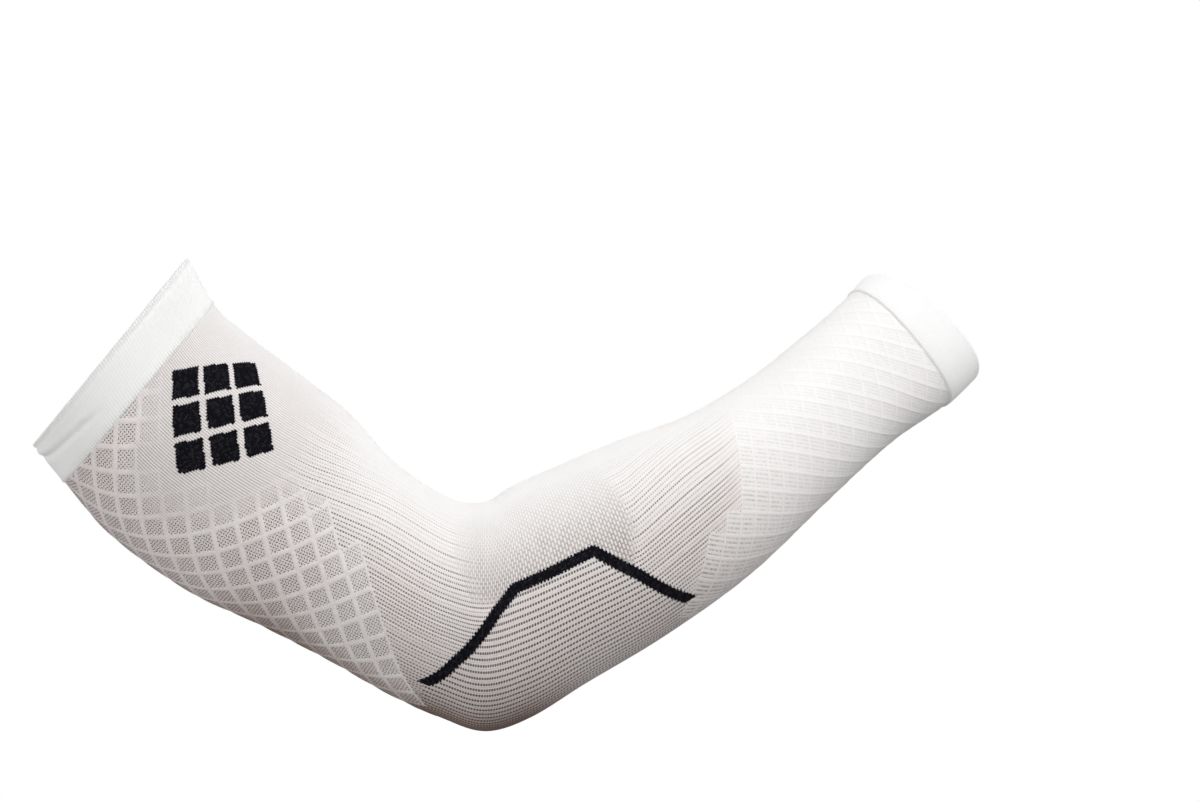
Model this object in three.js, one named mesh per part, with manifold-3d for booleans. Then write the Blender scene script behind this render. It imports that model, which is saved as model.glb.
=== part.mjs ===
// Knitted arm compression sleeve in the shape it takes on a bent arm, in millimetres, +Z up.
// The origin is the middle of the elbow, inside the hollow. +X runs towards the wrist, the side
// with the motif faces -Y, and the elbow's hinge line runs along Y.
// A place along the sleeve runs from -1 at the upper rim, through 0 at the elbow, to 1 at the
// wrist rim. An angle round it is 0 at the inner bend, 90 at the motif side, 180 at the elbow's
// point and 270 at the far side.

import * as THREE from 'three';
import { mergeVertices } from 'three/addons/utils/BufferGeometryUtils.js';
import Module from 'manifold-3d';

// Driving sizes of the arm form
const UPPER_REACH = 209; // elbow to the middle of the upper rim
const FORE_REACH = 247.5; // elbow to the middle of the wrist rim
const UPPER_HEADING = 142.5; // degrees from +X, seen from the motif side
const BEND = 106.8; // degrees between the upper arm and the forearm
const LEAN = 15; // degrees that the forearm leans to the far side
const BICEP_WIDTH = 106;
const BICEP_DEPTH = 92;
const ELBOW_WIDTH = 101.5;
const ELBOW_DEPTH = 82;
const WRIST_WIDTH = 67;
const WRIST_DEPTH = 48;

// Driving sizes of the knitted pieces
const BODY_WALL = 1.2;
const CUFF_WALL = 2.2; // two layers of a turned hem
const BICEP_STEP = 0.4; // how far the upper cuff stands proud of the knit
const WRIST_STEP = 0.8;
const CUFF_ROUND = 0.8; // rounding of a cuff's folded edge
const BICEP_CUFF = 22;
const WRIST_CUFF = 14;
const ELBOW_ABOVE = 38; // elbow knit, from the elbow up the upper arm
const ELBOW_BELOW = 104; // elbow knit, from the elbow down the forearm
const STRIPE_WIDTH = 4.8;
const MOTIF_PITCH_ALONG = 22;
const MOTIF_PITCH_ROUND = 23;
const MOTIF_BORDER = 3; // white knit between two diamonds
const MOTIF_BELOW_CUFF = 35; // from the upper cuff's seam to the middle of the motif
const MOTIF_ANGLE = 66;
const GAP = 0.3;

// The tuck in the upper cuff
const TUCK_DEPTH = 1.3;
const TUCK_HALF_WIDTH = 2.2;
const TUCK_START = { fromRim: 8, angle: 168 };
const TUCK_END = { fromRim: 12, angle: 118 };
const TUCK_FADE = 14; // degrees over which each end of the tuck fades out

// Fineness of the facets
const ROUND_STEPS = 45;
const TUBE_STEP = 15; // longest facet along a tube
const TUCK_ROWS = 7; // rows across the upper cuff's outer face
const STRIPE_STEP = 6;
const DIAMOND_STEPS = 3;
const SHARPEST_MITRE = 0.7; // cosine past which a strip's corner is no longer widened
const CUT_SPARE = BODY_WALL; // how far a cutter runs past both faces of the wall

// Colours of the yarns
const WHITE_KNIT = { color: 0xe9e6e4, roughness: 0.85, metalness: 0 };
const WHITE_WELT = { color: 0xf6f5f4, roughness: 0.8, metalness: 0 };
const BLACK_KNIT = { color: 0x15151b, roughness: 0.9, metalness: 0 };

// The arm form. rise is how far the section's middle lies towards the inner bend, as a share of
// the elbow's width. width and depth are shares of the straight taper from the elbow's size to
// the limb end's size. turn is the share of the way from square to the limb to the bisector of
// the bend. cant turns the near side towards the wrist, in degrees. egg is how much deeper the
// section is at the inner bend than at the point of the elbow. square is the section's exponent.
const FORM = [
  { place: -1.0, rise: 0.0, width: 1.0, depth: 1.0, turn: -0.06, cant: 6.5, egg: 0.0, square: 2.1 },
  { place: -0.89, rise: -0.071, width: 0.963, depth: 1.0, turn: -0.06, cant: 6, egg: 0.0, square: 2.1 },
  { place: -0.775, rise: -0.105, width: 1.01, depth: 1.03, turn: 0.06, cant: 4, egg: 0.0, square: 2.1 },
  { place: -0.593, rise: -0.098, width: 1.018, depth: 1.05, turn: 0.21, cant: 2, egg: 0.0, square: 2.1 },
  { place: -0.459, rise: -0.064, width: 0.971, depth: 1.03, turn: 0.39, cant: 0, egg: 0.02, square: 2.1 },
  { place: -0.316, rise: -0.056, width: 0.902, depth: 1.0, turn: 0.574, cant: 0, egg: 0.04, square: 2.1 },
  { place: -0.191, rise: -0.034, width: 0.903, depth: 0.98, turn: 0.724, cant: 0, egg: 0.07, square: 2.1 },
  { place: -0.1, rise: 0.01, width: 0.932, depth: 0.98, turn: 0.866, cant: 0, egg: 0.1, square: 2.1 },
  { place: 0.0, rise: 0.106, width: 1.0, depth: 1.0, turn: 1.0, cant: 0, egg: 0.12, square: 2.1 },
  { place: 0.089, rise: 0.048, width: 1.037, depth: 1.05, turn: 0.839, cant: 3, egg: 0.11, square: 2.1 },
  { place: 0.197, rise: 0.012, width: 1.029, depth: 1.1, turn: 0.798, cant: 7, egg: 0.09, square: 2.1 },
  { place: 0.336, rise: -0.039, width: 1.002, depth: 1.15, turn: 0.664, cant: 12, egg: 0.07, square: 2.1 },
  { place: 0.5, rise: -0.087, width: 0.917, depth: 1.14, turn: 0.467, cant: 15, egg: 0.05, square: 2.15 },
  { place: 0.663, rise: -0.075, width: 0.843, depth: 1.06, turn: 0.197, cant: 15, egg: 0.03, square: 2.2 },
  { place: 0.827, rise: -0.046, width: 0.86, depth: 1.0, turn: 0.0, cant: 15, egg: 0.01, square: 2.3 },
  { place: 0.945, rise: -0.038, width: 0.962, depth: 1.0, turn: -0.117, cant: 16, egg: 0.0, square: 2.4 },
  { place: 1.0, rise: -0.02, width: 1.0, depth: 1.0, turn: -0.34, cant: 29, egg: 0.0, square: 2.4 },
];

// The elbow stripe's middle line on both sides of the sleeve
const STRIPE = [
  { place: -0.132, near: 134, far: 173 },
  { place: -0.068, near: 112, far: 200 },
  { place: -0.01, near: 97, far: 217 },
  { place: 0.029, near: 87, far: 228 },
  { place: 0.076, near: 79.5, far: 239 },
  { place: 0.151, near: 80, far: 241 },
  { place: 0.22, near: 79.5, far: 245 },
  { place: 0.292, near: 103, far: 225 },
  { place: 0.378, near: 137, far: 195 },
];

const radians = THREE.MathUtils.degToRad;
const mix = THREE.MathUtils.lerp;

// One row of the form, solved into a middle point, a facing angle and half sizes
function solveRow(row) {
  const onUpper = row.place < 0;
  const share = Math.abs(row.place);
  const foreHeading = UPPER_HEADING - BEND;
  const bisector = UPPER_HEADING - BEND / 2;
  const heading = radians(onUpper ? UPPER_HEADING : foreHeading);
  const square = onUpper ? UPPER_HEADING - 90 : foreHeading + 90;
  const riseAngle = radians(row.place === 0 ? bisector : square);
  const lean = onUpper ? 0 : radians(LEAN);
  const reach = share * (onUpper ? UPPER_REACH : FORE_REACH);
  const endWidth = onUpper ? BICEP_WIDTH : WRIST_WIDTH;
  const endDepth = onUpper ? BICEP_DEPTH : WRIST_DEPTH;
  const rise = row.rise * ELBOW_WIDTH;
  return {
    place: row.place,
    x: reach * Math.cos(lean) * Math.cos(heading) + rise * Math.cos(riseAngle),
    y: reach * Math.sin(lean),
    z: reach * Math.cos(lean) * Math.sin(heading) + rise * Math.sin(riseAngle),
    facing: mix(square, bisector, row.turn),
    cant: row.cant,
    halfWidth: 0.5 * row.width * mix(ELBOW_WIDTH, endWidth, share),
    halfDepth: 0.5 * row.depth * mix(ELBOW_DEPTH, endDepth, share),
    egg: row.egg,
    square: row.square,
  };
}

const SOLVED = FORM.map(solveRow);
const SECTION_KEYS = Object.keys(SOLVED[0]).filter((key) => key !== 'place');

// The slope of one column at one row, from the rows on either side of it
function slope(index, key) {
  const before = SOLVED[Math.max(index - 1, 0)];
  const after = SOLVED[Math.min(index + 1, SOLVED.length - 1)];
  return (after[key] - before[key]) / (after.place - before.place);
}

// The section at any place, on a smooth curve through the rows
function sectionAt(place) {
  let index = SOLVED.findIndex((row) => row.place > place) - 1;
  if (index < 0) index = place < 0 ? 0 : SOLVED.length - 2;
  const from = SOLVED[index];
  const to = SOLVED[index + 1];
  const span = to.place - from.place;
  const t = (place - from.place) / span;
  const section = {};
  for (const key of SECTION_KEYS) {
    section[key] = (2 * t ** 3 - 3 * t ** 2 + 1) * from[key]
      + (t ** 3 - 2 * t ** 2 + t) * span * slope(index, key)
      + (3 * t ** 2 - 2 * t ** 3) * to[key]
      + (t ** 3 - t ** 2) * span * slope(index + 1, key);
  }
  return section;
}

// A point of the outer face of the knit
function facePoint(place, angle) {
  const s = sectionAt(place);
  const c = Math.cos(radians(angle));
  const q = Math.sin(radians(angle));
  const round = (Math.abs(c) ** s.square + Math.abs(q) ** s.square) ** (-1 / s.square);
  const across = s.halfWidth * c * round;
  const outward = s.halfDepth * q * round * (1 + s.egg * c);
  const facing = radians(s.facing);
  const cant = radians(s.cant);
  return new THREE.Vector3(
    s.x + across * Math.cos(facing) + outward * Math.sin(cant) * Math.sin(facing),
    s.y - outward * Math.cos(cant),
    s.z + across * Math.sin(facing) - outward * Math.sin(cant) * Math.cos(facing),
  );
}

// The outward direction of the knit's face
function faceNormal(place, angle) {
  const alongNudge = 0.002;
  const roundNudge = 0.5;
  const along = facePoint(place + alongNudge, angle).sub(facePoint(place - alongNudge, angle));
  const round = facePoint(place, angle + roundNudge).sub(facePoint(place, angle - roundNudge));
  return round.cross(along).normalize();
}

function liftedPoint(place, angle, lift) {
  return facePoint(place, angle).addScaledVector(faceNormal(place, angle), lift);
}

// Lengths along each limb, turned into places
const upperPlace = (fromElbow) => -fromElbow / UPPER_REACH;
const forePlace = (fromElbow) => fromElbow / FORE_REACH;

// Millimetres of the face for one degree round it
function roundScale(place, angle) {
  return facePoint(place, angle + 1).distanceTo(facePoint(place, angle));
}

// A closed geometry from points and faces, turned so that its faces point out
function closedGeometry(points, faces) {
  let volume = 0;
  for (const [a, b, c] of faces) {
    volume += points[a].dot(new THREE.Vector3().crossVectors(points[b], points[c]));
  }
  const turned = volume < 0 ? faces.map(([a, b, c]) => [a, c, b]) : faces;
  const geometry = new THREE.BufferGeometry().setFromPoints(points);
  geometry.setIndex(turned.flat());
  geometry.computeVertexNormals();
  return geometry;
}

// A band round the arm: a closed profile of places and lifts, carried round the form
function bandGeometry(profile, liftChange = () => 0) {
  const points = [];
  for (let step = 0; step < ROUND_STEPS; step += 1) {
    const angle = (360 * step) / ROUND_STEPS;
    for (const { place, lift } of profile) {
      points.push(liftedPoint(place, angle, lift + liftChange(place, angle)));
    }
  }
  const faces = [];
  const ring = profile.length;
  for (let step = 0; step < ROUND_STEPS; step += 1) {
    const next = (step + 1) % ROUND_STEPS;
    for (let i = 0; i < ring; i += 1) {
      const j = (i + 1) % ring;
      const corners = [step * ring + i, step * ring + j, next * ring + j, next * ring + i];
      faces.push([corners[0], corners[1], corners[2]], [corners[0], corners[2], corners[3]]);
    }
  }
  return closedGeometry(points, faces);
}

// Evenly spaced places between two, no further apart than a facet's longest side
function placesBetween(from, to) {
  const start = sectionAt(from);
  const end = sectionAt(to);
  const length = Math.hypot(end.x - start.x, end.y - start.y, end.z - start.z);
  const steps = Math.ceil(length / TUBE_STEP);
  return Array.from({ length: steps + 1 }, (unused, i) => mix(from, to, i / steps));
}

function tubeGeometry(from, to) {
  const places = placesBetween(from, to);
  const outer = places.map((place) => ({ place, lift: 0 }));
  const inner = places.map((place) => ({ place, lift: -BODY_WALL })).reverse();
  return bandGeometry([...outer, ...inner]);
}

// A cuff's profile: a double layer with its folded rim rounded
function cuffProfile(seam, rim, step) {
  const inner = step - CUFF_WALL;
  const middle = mix(seam, rim, 0.5);
  const reach = rim < 0 ? UPPER_REACH : FORE_REACH;
  const shoulder = (Math.sign(rim) * CUFF_ROUND) / reach;
  return [
    { place: seam, lift: step - CUFF_ROUND / 2 },
    { place: seam + shoulder, lift: step },
    { place: middle, lift: step },
    { place: rim - shoulder, lift: step },
    { place: rim, lift: step - CUFF_ROUND },
    { place: rim, lift: inner + CUFF_ROUND },
    { place: rim - shoulder, lift: inner },
    { place: middle, lift: inner },
    { place: seam, lift: inner },
  ];
}

// How far the tuck pulls the upper cuff in, at a place and an angle
function tuckLift(place, angle) {
  const fromRim = (1 + place) * UPPER_REACH;
  const share = (angle - TUCK_START.angle) / (TUCK_END.angle - TUCK_START.angle);
  const line = mix(TUCK_START.fromRim, TUCK_END.fromRim, share);
  const valley = Math.exp(-(((fromRim - line) / TUCK_HALF_WIDTH) ** 2));
  const beyond = Math.max(angle - TUCK_START.angle, TUCK_END.angle - angle, 0);
  const fade = Math.max(0, 1 - beyond / TUCK_FADE);
  return -TUCK_DEPTH * valley * fade;
}

// The upper cuff has more rows than the wrist's, so that the tuck shows in it
function bicepCuffProfile(seam, rim) {
  const ends = cuffProfile(seam, rim, BICEP_STEP);
  const rows = Array.from({ length: TUCK_ROWS - 1 }, (unused, i) => (i + 1) / TUCK_ROWS);
  const outer = rows.map((share) => ({ place: mix(seam, rim, share), lift: BICEP_STEP }));
  return [...ends.slice(0, 2), ...outer, ...ends.slice(3)];
}

// A strip of the wall that follows a line on the face
function stripGeometry(line, width, spare, low, high) {
  const route = [];
  for (let i = 0; i < line.length - 1; i += 1) {
    const from = line[i];
    const to = line[i + 1];
    const gapLength = facePoint(from.place, from.angle).distanceTo(facePoint(to.place, to.angle));
    const steps = Math.ceil(gapLength / STRIPE_STEP);
    for (let step = 0; step < steps; step += 1) {
      const t = step / steps;
      route.push({ place: mix(from.place, to.place, t), angle: mix(from.angle, to.angle, t) });
    }
  }
  route.push(line[line.length - 1]);
  const middles = route.map(({ place, angle }) => facePoint(place, angle));
  const normals = route.map(({ place, angle }) => faceNormal(place, angle));
  const last = route.length - 1;
  const points = [];
  for (let i = 0; i <= last; i += 1) {
    const back = middles[i].clone().sub(middles[Math.max(i - 1, 0)]).normalize();
    const ahead = middles[Math.min(i + 1, last)].clone().sub(middles[i]).normalize();
    const run = back.clone().add(ahead).normalize();
    const mitre = 1 / Math.max(run.dot(i === 0 ? ahead : back), SHARPEST_MITRE);
    const side = new THREE.Vector3().crossVectors(normals[i], run).normalize();
    const middle = middles[i].clone();
    if (i === 0) middle.addScaledVector(run, -spare);
    if (i === last) middle.addScaledVector(run, spare);
    for (const [edge, lift] of [[-1, high], [1, high], [1, low], [-1, low]]) {
      const point = middle.clone().addScaledVector(side, edge * mitre * (width / 2 + spare));
      points.push(point.addScaledVector(normals[i], lift));
    }
  }
  const faces = [[0, 1, 2], [0, 2, 3]];
  for (let i = 0; i < last; i += 1) {
    for (let k = 0; k < 4; k += 1) {
      const a = 4 * i + k;
      const b = 4 * i + ((k + 1) % 4);
      faces.push([b, a, a + 4], [b, a + 4, b + 4]);
    }
  }
  const end = 4 * last;
  faces.push([end + 2, end + 1, end], [end + 3, end + 2, end]);
  return closedGeometry(points, faces);
}

// One diamond of the motif as a piece of the wall, or the larger block that cuts its hole
function diamondGeometry(column, row, border, low, high) {
  const side = Math.hypot(MOTIF_PITCH_ALONG, MOTIF_PITCH_ROUND) / 2;
  const inradius = (MOTIF_PITCH_ALONG * MOTIF_PITCH_ROUND) / (4 * side);
  const share = 1 - border / (2 * inradius);
  const middle = UPPER_REACH - BICEP_CUFF - MOTIF_BELOW_CUFF;
  const place = upperPlace(middle - ((column + row) / 2) * MOTIF_PITCH_ALONG);
  const round = ((column - row) / 2) * MOTIF_PITCH_ROUND;
  const angle = MOTIF_ANGLE + round / roundScale(place, MOTIF_ANGLE);
  const degrees = 1 / roundScale(place, angle);
  const rim = DIAMOND_STEPS + 1;
  const points = [];
  for (const lift of [high, low]) {
    for (let i = 0; i < rim; i += 1) {
      for (let j = 0; j < rim; j += 1) {
        const u = i / DIAMOND_STEPS - 0.5;
        const v = j / DIAMOND_STEPS - 0.5;
        const along = 0.5 * (u + v) * share * MOTIF_PITCH_ALONG;
        const across = 0.5 * (u - v) * share * MOTIF_PITCH_ROUND;
        points.push(liftedPoint(place - upperPlace(along), angle + across * degrees, lift));
      }
    }
  }
  const faces = [];
  const under = rim * rim;
  const quad = (a, b, c, d) => faces.push([a, b, c], [a, c, d]);
  for (let i = 0; i < DIAMOND_STEPS; i += 1) {
    for (let j = 0; j < DIAMOND_STEPS; j += 1) {
      const a = i * rim + j;
      quad(a, a + rim, a + rim + 1, a + 1);
      quad(under + a + 1, under + a + rim + 1, under + a + rim, under + a);
    }
  }
  const corner = DIAMOND_STEPS * rim;
  for (let k = 0; k < DIAMOND_STEPS; k += 1) {
    quad(k, k + 1, under + k + 1, under + k);
    quad(corner + k + 1, corner + k, under + corner + k, under + corner + k + 1);
    quad((k + 1) * rim, k * rim, under + k * rim, under + (k + 1) * rim);
    const far = k * rim + DIAMOND_STEPS;
    quad(far, far + rim, under + far + rim, under + far);
  }
  return closedGeometry(points, faces);
}

const wasm = await Module();
wasm.setup();

function toSolid(geometry) {
  const bare = geometry.clone();
  bare.deleteAttribute('normal');
  bare.deleteAttribute('uv');
  const merged = mergeVertices(bare);
  return new wasm.Manifold(new wasm.Mesh({
    numProp: 3,
    vertProperties: new Float32Array(merged.attributes.position.array),
    triVerts: new Uint32Array(merged.index.array),
  }));
}

function toGeometry(solid) {
  const mesh = solid.getMesh();
  const geometry = new THREE.BufferGeometry();
  geometry.setAttribute('position', new THREE.BufferAttribute(mesh.vertProperties, 3));
  geometry.setIndex(new THREE.BufferAttribute(mesh.triVerts, 1));
  geometry.computeVertexNormals();
  return geometry;
}

// A tube with the slots cut through its wall that its inlaid pieces fill
function slottedTube(from, to, cutters) {
  let solid = toSolid(tubeGeometry(from, to));
  for (const cutter of cutters) solid = solid.subtract(toSolid(cutter));
  return toGeometry(solid);
}

const group = new THREE.Group();

function addPiece(name, geometry, finish) {
  const mesh = new THREE.Mesh(geometry, new THREE.MeshStandardMaterial(finish));
  mesh.name = name;
  group.add(mesh);
}

// Where the pieces meet, each one half the gap from the seam
const upperHalfGap = GAP / 2 / UPPER_REACH;
const foreHalfGap = GAP / 2 / FORE_REACH;
const bicepSeam = upperPlace(UPPER_REACH - BICEP_CUFF);
const wristSeam = forePlace(FORE_REACH - WRIST_CUFF);
const elbowTop = upperPlace(ELBOW_ABOVE);
const elbowEnd = forePlace(ELBOW_BELOW);

const stripes = ['near', 'far'].map((side) => {
  const line = STRIPE.map((row) => ({ place: row.place, angle: row[side] }));
  return {
    side,
    inlay: stripGeometry(line, STRIPE_WIDTH, 0, -BODY_WALL, 0),
    cutter: stripGeometry(line, STRIPE_WIDTH, GAP, -BODY_WALL - CUT_SPARE, CUT_SPARE),
  };
});

const diamonds = [];
for (const column of [-1, 0, 1]) {
  for (const row of [-1, 0, 1]) {
    diamonds.push({
      inlay: diamondGeometry(column, row, MOTIF_BORDER, -BODY_WALL, 0),
      cutter: diamondGeometry(column, row, MOTIF_BORDER - 2 * GAP, -BODY_WALL - CUT_SPARE, CUT_SPARE),
    });
  }
}

addPiece('bicep_cuff', bandGeometry(bicepCuffProfile(bicepSeam - upperHalfGap, -1), tuckLift), WHITE_WELT);
addPiece(
  'upper_arm_tube',
  slottedTube(bicepSeam + upperHalfGap, elbowTop - upperHalfGap, diamonds.map((d) => d.cutter)),
  WHITE_KNIT,
);
addPiece(
  'elbow_tube',
  slottedTube(elbowTop + upperHalfGap, elbowEnd - foreHalfGap, stripes.map((s) => s.cutter)),
  WHITE_KNIT,
);
addPiece('forearm_tube', tubeGeometry(elbowEnd + foreHalfGap, wristSeam - foreHalfGap), WHITE_KNIT);
addPiece('wrist_cuff', bandGeometry(cuffProfile(wristSeam + foreHalfGap, 1, WRIST_STEP)), WHITE_WELT);
for (const { side, inlay } of stripes) addPiece(`elbow_stripe_${side}`, inlay, BLACK_KNIT);
diamonds.forEach((diamond, index) => addPiece(`motif_diamond_${index + 1}`, diamond.inlay, BLACK_KNIT));

export default group;
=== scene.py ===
"""Knitted arm compression sleeve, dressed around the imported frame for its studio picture.

Lengths are in metres. A place along the sleeve runs from -1 at the upper rim, through 0 at the
elbow, to 1 at the wrist rim. An angle round it is 0 at the inner bend, 90 at the motif side, 180
at the elbow's point and 270 at the far side. A wale is one column of stitches along the sleeve
and a course is one row of stitches round it.
"""

import logging
import math
from dataclasses import dataclass
from enum import Enum

import bmesh
import bpy
import numpy as np
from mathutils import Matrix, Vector

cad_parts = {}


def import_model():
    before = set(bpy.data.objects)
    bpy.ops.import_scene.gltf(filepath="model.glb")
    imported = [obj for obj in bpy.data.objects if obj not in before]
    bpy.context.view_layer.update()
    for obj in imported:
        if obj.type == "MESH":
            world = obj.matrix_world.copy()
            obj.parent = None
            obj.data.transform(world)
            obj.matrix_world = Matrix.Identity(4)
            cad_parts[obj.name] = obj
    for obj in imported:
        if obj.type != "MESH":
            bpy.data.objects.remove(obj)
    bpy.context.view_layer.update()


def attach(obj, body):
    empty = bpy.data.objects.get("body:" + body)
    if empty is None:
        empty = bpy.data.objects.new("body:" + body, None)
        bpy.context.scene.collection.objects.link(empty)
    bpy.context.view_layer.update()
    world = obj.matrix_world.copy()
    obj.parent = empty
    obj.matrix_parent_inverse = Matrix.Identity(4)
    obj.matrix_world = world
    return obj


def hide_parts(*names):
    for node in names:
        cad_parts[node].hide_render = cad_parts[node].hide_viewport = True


LOG = logging.getLogger("sleeve")
BODY = "root"
MM = 0.001
WELD = 0.001 * MM
Span = tuple[float, float]
Curve = tuple[Span, ...]
Colour = tuple[float, float, float, float]


def hermite(xs: np.ndarray, values: np.ndarray, at: np.ndarray) -> np.ndarray:
    """Reads smooth curves through the rows of a table.

    Args:
        xs: Rising positions of the rows.
        values: One row of values for each position.
        at: Positions to read, of one dimension.

    Returns:
        One row of values for each position read.
    """
    slopes = np.zeros_like(values)
    slopes[1:-1] = (values[2:] - values[:-2]) / (xs[2:] - xs[:-2])[:, None]
    slopes[0] = (values[1] - values[0]) / (xs[1] - xs[0])
    slopes[-1] = (values[-1] - values[-2]) / (xs[-1] - xs[-2])
    i = np.clip(np.searchsorted(xs, at, side="right") - 1, 0, len(xs) - 2)
    span = (xs[i + 1] - xs[i])[:, None]
    t = (at - xs[i])[:, None] / span
    return (
        (2 * t**3 - 3 * t**2 + 1) * values[i]
        + (t**3 - 2 * t**2 + t) * span * slopes[i]
        + (3 * t**2 - 2 * t**3) * values[i + 1]
        + (t**3 - t**2) * span * slopes[i + 1]
    )


def smooth_curve(points: Curve, at: np.ndarray) -> np.ndarray:
    """Reads a smooth curve through a few points.

    Args:
        points: Pairs of position and value, with rising positions.
        at: Positions to read, of any shape.

    Returns:
        Values in the shape of the positions.
    """
    table = np.array(points, float)
    at = np.asarray(at, float)
    flat = np.clip(at.ravel(), table[0, 0], table[-1, 0])
    return hermite(table[:, 0], table[:, 1:], flat).reshape(at.shape)


def straight_curve(points: Curve, at: np.ndarray) -> np.ndarray:
    """Reads straight lines through a few points, held level past the ends."""
    table = np.array(points, float)
    return np.interp(at, table[:, 0], table[:, 1])


def ease(low: float, high: float, value: np.ndarray) -> np.ndarray:
    """Rises smoothly from 0 at low to 1 at high."""
    t = np.clip((value - low) / (high - low), 0.0, 1.0)
    return t * t * (3.0 - 2.0 * t)


# The sections of the arm's form. rise is how far a section's middle lies towards the inner bend,
# as a share of the elbow's width. width and depth are shares of the straight taper from the elbow
# to the limb's end. turn is the share of the way from square to the limb to the bisector of the
# bend. cant turns the near side towards the wrist, in degrees. egg is how much deeper the section
# is at the inner bend than at the elbow's point. square is the section's exponent.
FORM_ROWS = (
    # place, rise, width, depth, turn, cant, egg, square
    (-1.00, 0.000, 1.000, 1.00, -0.06, 6.5, 0.00, 2.10),
    (-0.89, -0.071, 0.963, 1.00, -0.06, 6.0, 0.00, 2.10),
    (-0.775, -0.105, 1.010, 1.03, 0.06, 4.0, 0.00, 2.10),
    (-0.593, -0.098, 1.018, 1.05, 0.21, 2.0, 0.00, 2.10),
    (-0.459, -0.064, 0.971, 1.03, 0.39, 0.0, 0.02, 2.10),
    (-0.316, -0.056, 0.902, 1.00, 0.574, 0.0, 0.04, 2.10),
    (-0.191, -0.034, 0.903, 0.98, 0.724, 0.0, 0.07, 2.10),
    (-0.10, 0.010, 0.932, 0.98, 0.866, 0.0, 0.10, 2.10),
    (0.00, 0.106, 1.000, 1.00, 1.00, 0.0, 0.12, 2.10),
    (0.089, 0.048, 1.037, 1.05, 0.839, 3.0, 0.11, 2.10),
    (0.197, 0.012, 1.029, 1.10, 0.798, 7.0, 0.09, 2.10),
    (0.336, -0.039, 1.002, 1.15, 0.664, 12.0, 0.07, 2.10),
    (0.50, -0.087, 0.917, 1.14, 0.467, 15.0, 0.05, 2.15),
    (0.663, -0.075, 0.843, 1.06, 0.197, 15.0, 0.03, 2.20),
    (0.827, -0.046, 0.860, 1.00, 0.00, 15.0, 0.01, 2.30),
    (0.945, -0.038, 0.962, 1.00, -0.117, 16.0, 0.00, 2.40),
    (1.00, -0.020, 1.000, 1.00, -0.34, 29.0, 0.00, 2.40),
)


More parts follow.
